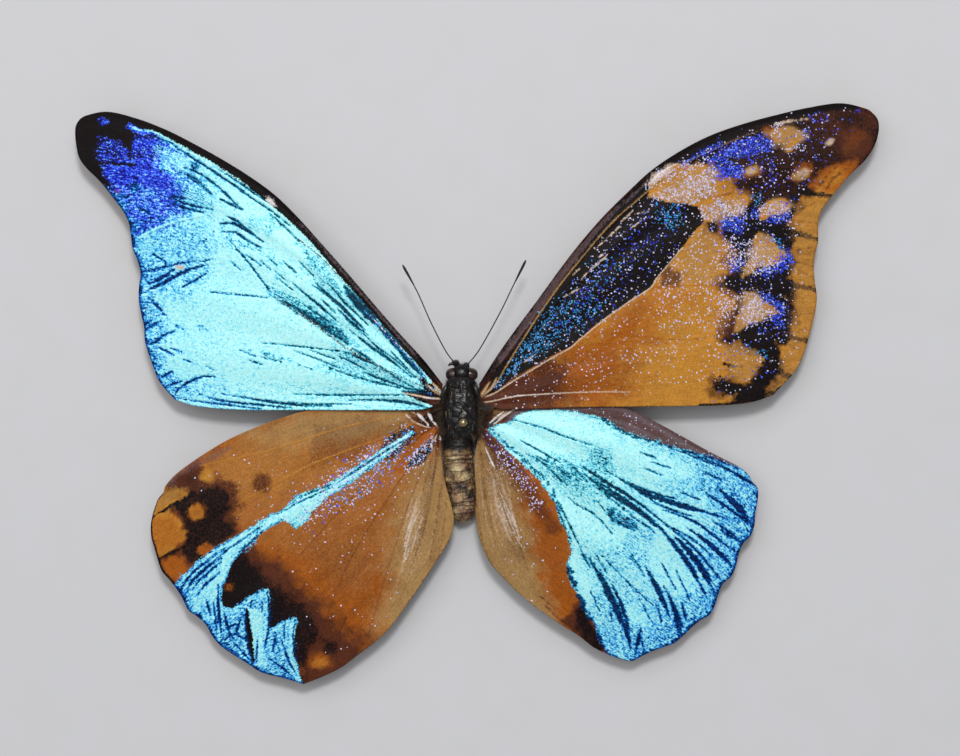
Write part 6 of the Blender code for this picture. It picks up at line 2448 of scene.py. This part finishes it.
@dataclass
class Studio:
    """The pale floor, the soft lights and the camera straight above."""

    floor_size: float = 5.0
    floor_colour: Colour = srgb(214, 214, 215)
    view_middle: tuple[float, float] = (2.87 * MM, 7.66 * MM)
    view_width: float = 167.0 * MM
    camera_height: float = 0.5

    def build(self) -> None:
        """Sets up the floor, the lights, the camera and the plain colour handling."""
        self.lay_floor()
        self.hang_lights()
        self.place_camera()
        scene = bpy.context.scene
        scene.view_settings.view_transform = "Standard"
        scene.view_settings.look = "None"

    def lay_floor(self) -> None:
        """Lays the floor as one large sheet with gently rolled-up edges."""
        sheet = bmesh.new()
        bmesh.ops.create_grid(sheet, x_segments=48, y_segments=48, size=self.floor_size / 2)
        for vert in sheet.verts:
            beyond = max(math.hypot(vert.co.x, vert.co.y) - 0.3 * self.floor_size, 0.0)
            vert.co.z = 0.35 * beyond**2
        mesh = bpy.data.meshes.new("floor")
        sheet.to_mesh(mesh)
        sheet.free()
        mesh.shade_smooth()
        finish = Shell(Cuticle("floor_paper", self.floor_colour, srgb(216, 216, 220), 0.9, grain=2 * MM,
                               bump=0.01 * MM))
        add_object("floor", mesh, finish.material)

    def hang_lights(self) -> None:
        """Hangs a wide soft light, a smaller one that gives the glints, and a pale sky."""
        world = bpy.data.worlds.new("pale_sky")
        world.use_nodes = True
        world.node_tree.nodes["Background"].inputs[0].default_value = (0.97, 0.98, 1.0, 1.0)
        world.node_tree.nodes["Background"].inputs[1].default_value = 0.25
        bpy.context.scene.world = world
        for name, place, size, power in (("wide_light", (-0.22, 0.35, 1.1), 1.2, 6.0),
                                         ("glint_light", (0.02, 0.30, 0.75), 0.12, 2.4)):
            lamp = bpy.data.lights.new(name, "AREA")
            lamp.size = size
            lamp.energy = power
            holder = bpy.data.objects.new(name, lamp)
            holder.location = place
            holder.rotation_euler = (-Vector(place)).to_track_quat("-Z", "Y").to_euler()
            bpy.context.collection.objects.link(holder)

    def place_camera(self) -> None:
        """Places the camera straight above, with the photo's width of view."""
        camera = bpy.data.cameras.new("camera")
        camera.sensor_width = 36.0
        camera.lens = 36.0 * (self.camera_height - WING_PLANE) / self.view_width
        camera.clip_start = 0.01
        holder = bpy.data.objects.new("camera", camera)
        holder.location = (*self.view_middle, self.camera_height)
        bpy.context.collection.objects.link(holder)
        bpy.context.scene.camera = holder


def main() -> None:
    """Builds the whole butterfly, then the studio."""
    logging.basicConfig(level=logging.INFO, format="%(message)s")
    finishes = Finishes()
    scales = WingScales()
    for wing in WINGS:
        wing.build(scales.material)
    for part in (Thorax(), Head(), Abdomen(), *LEGS, *FEELERS, Pin()):
        part.build(finishes)
    Studio().build()


if __name__ == "__main__":
    main()
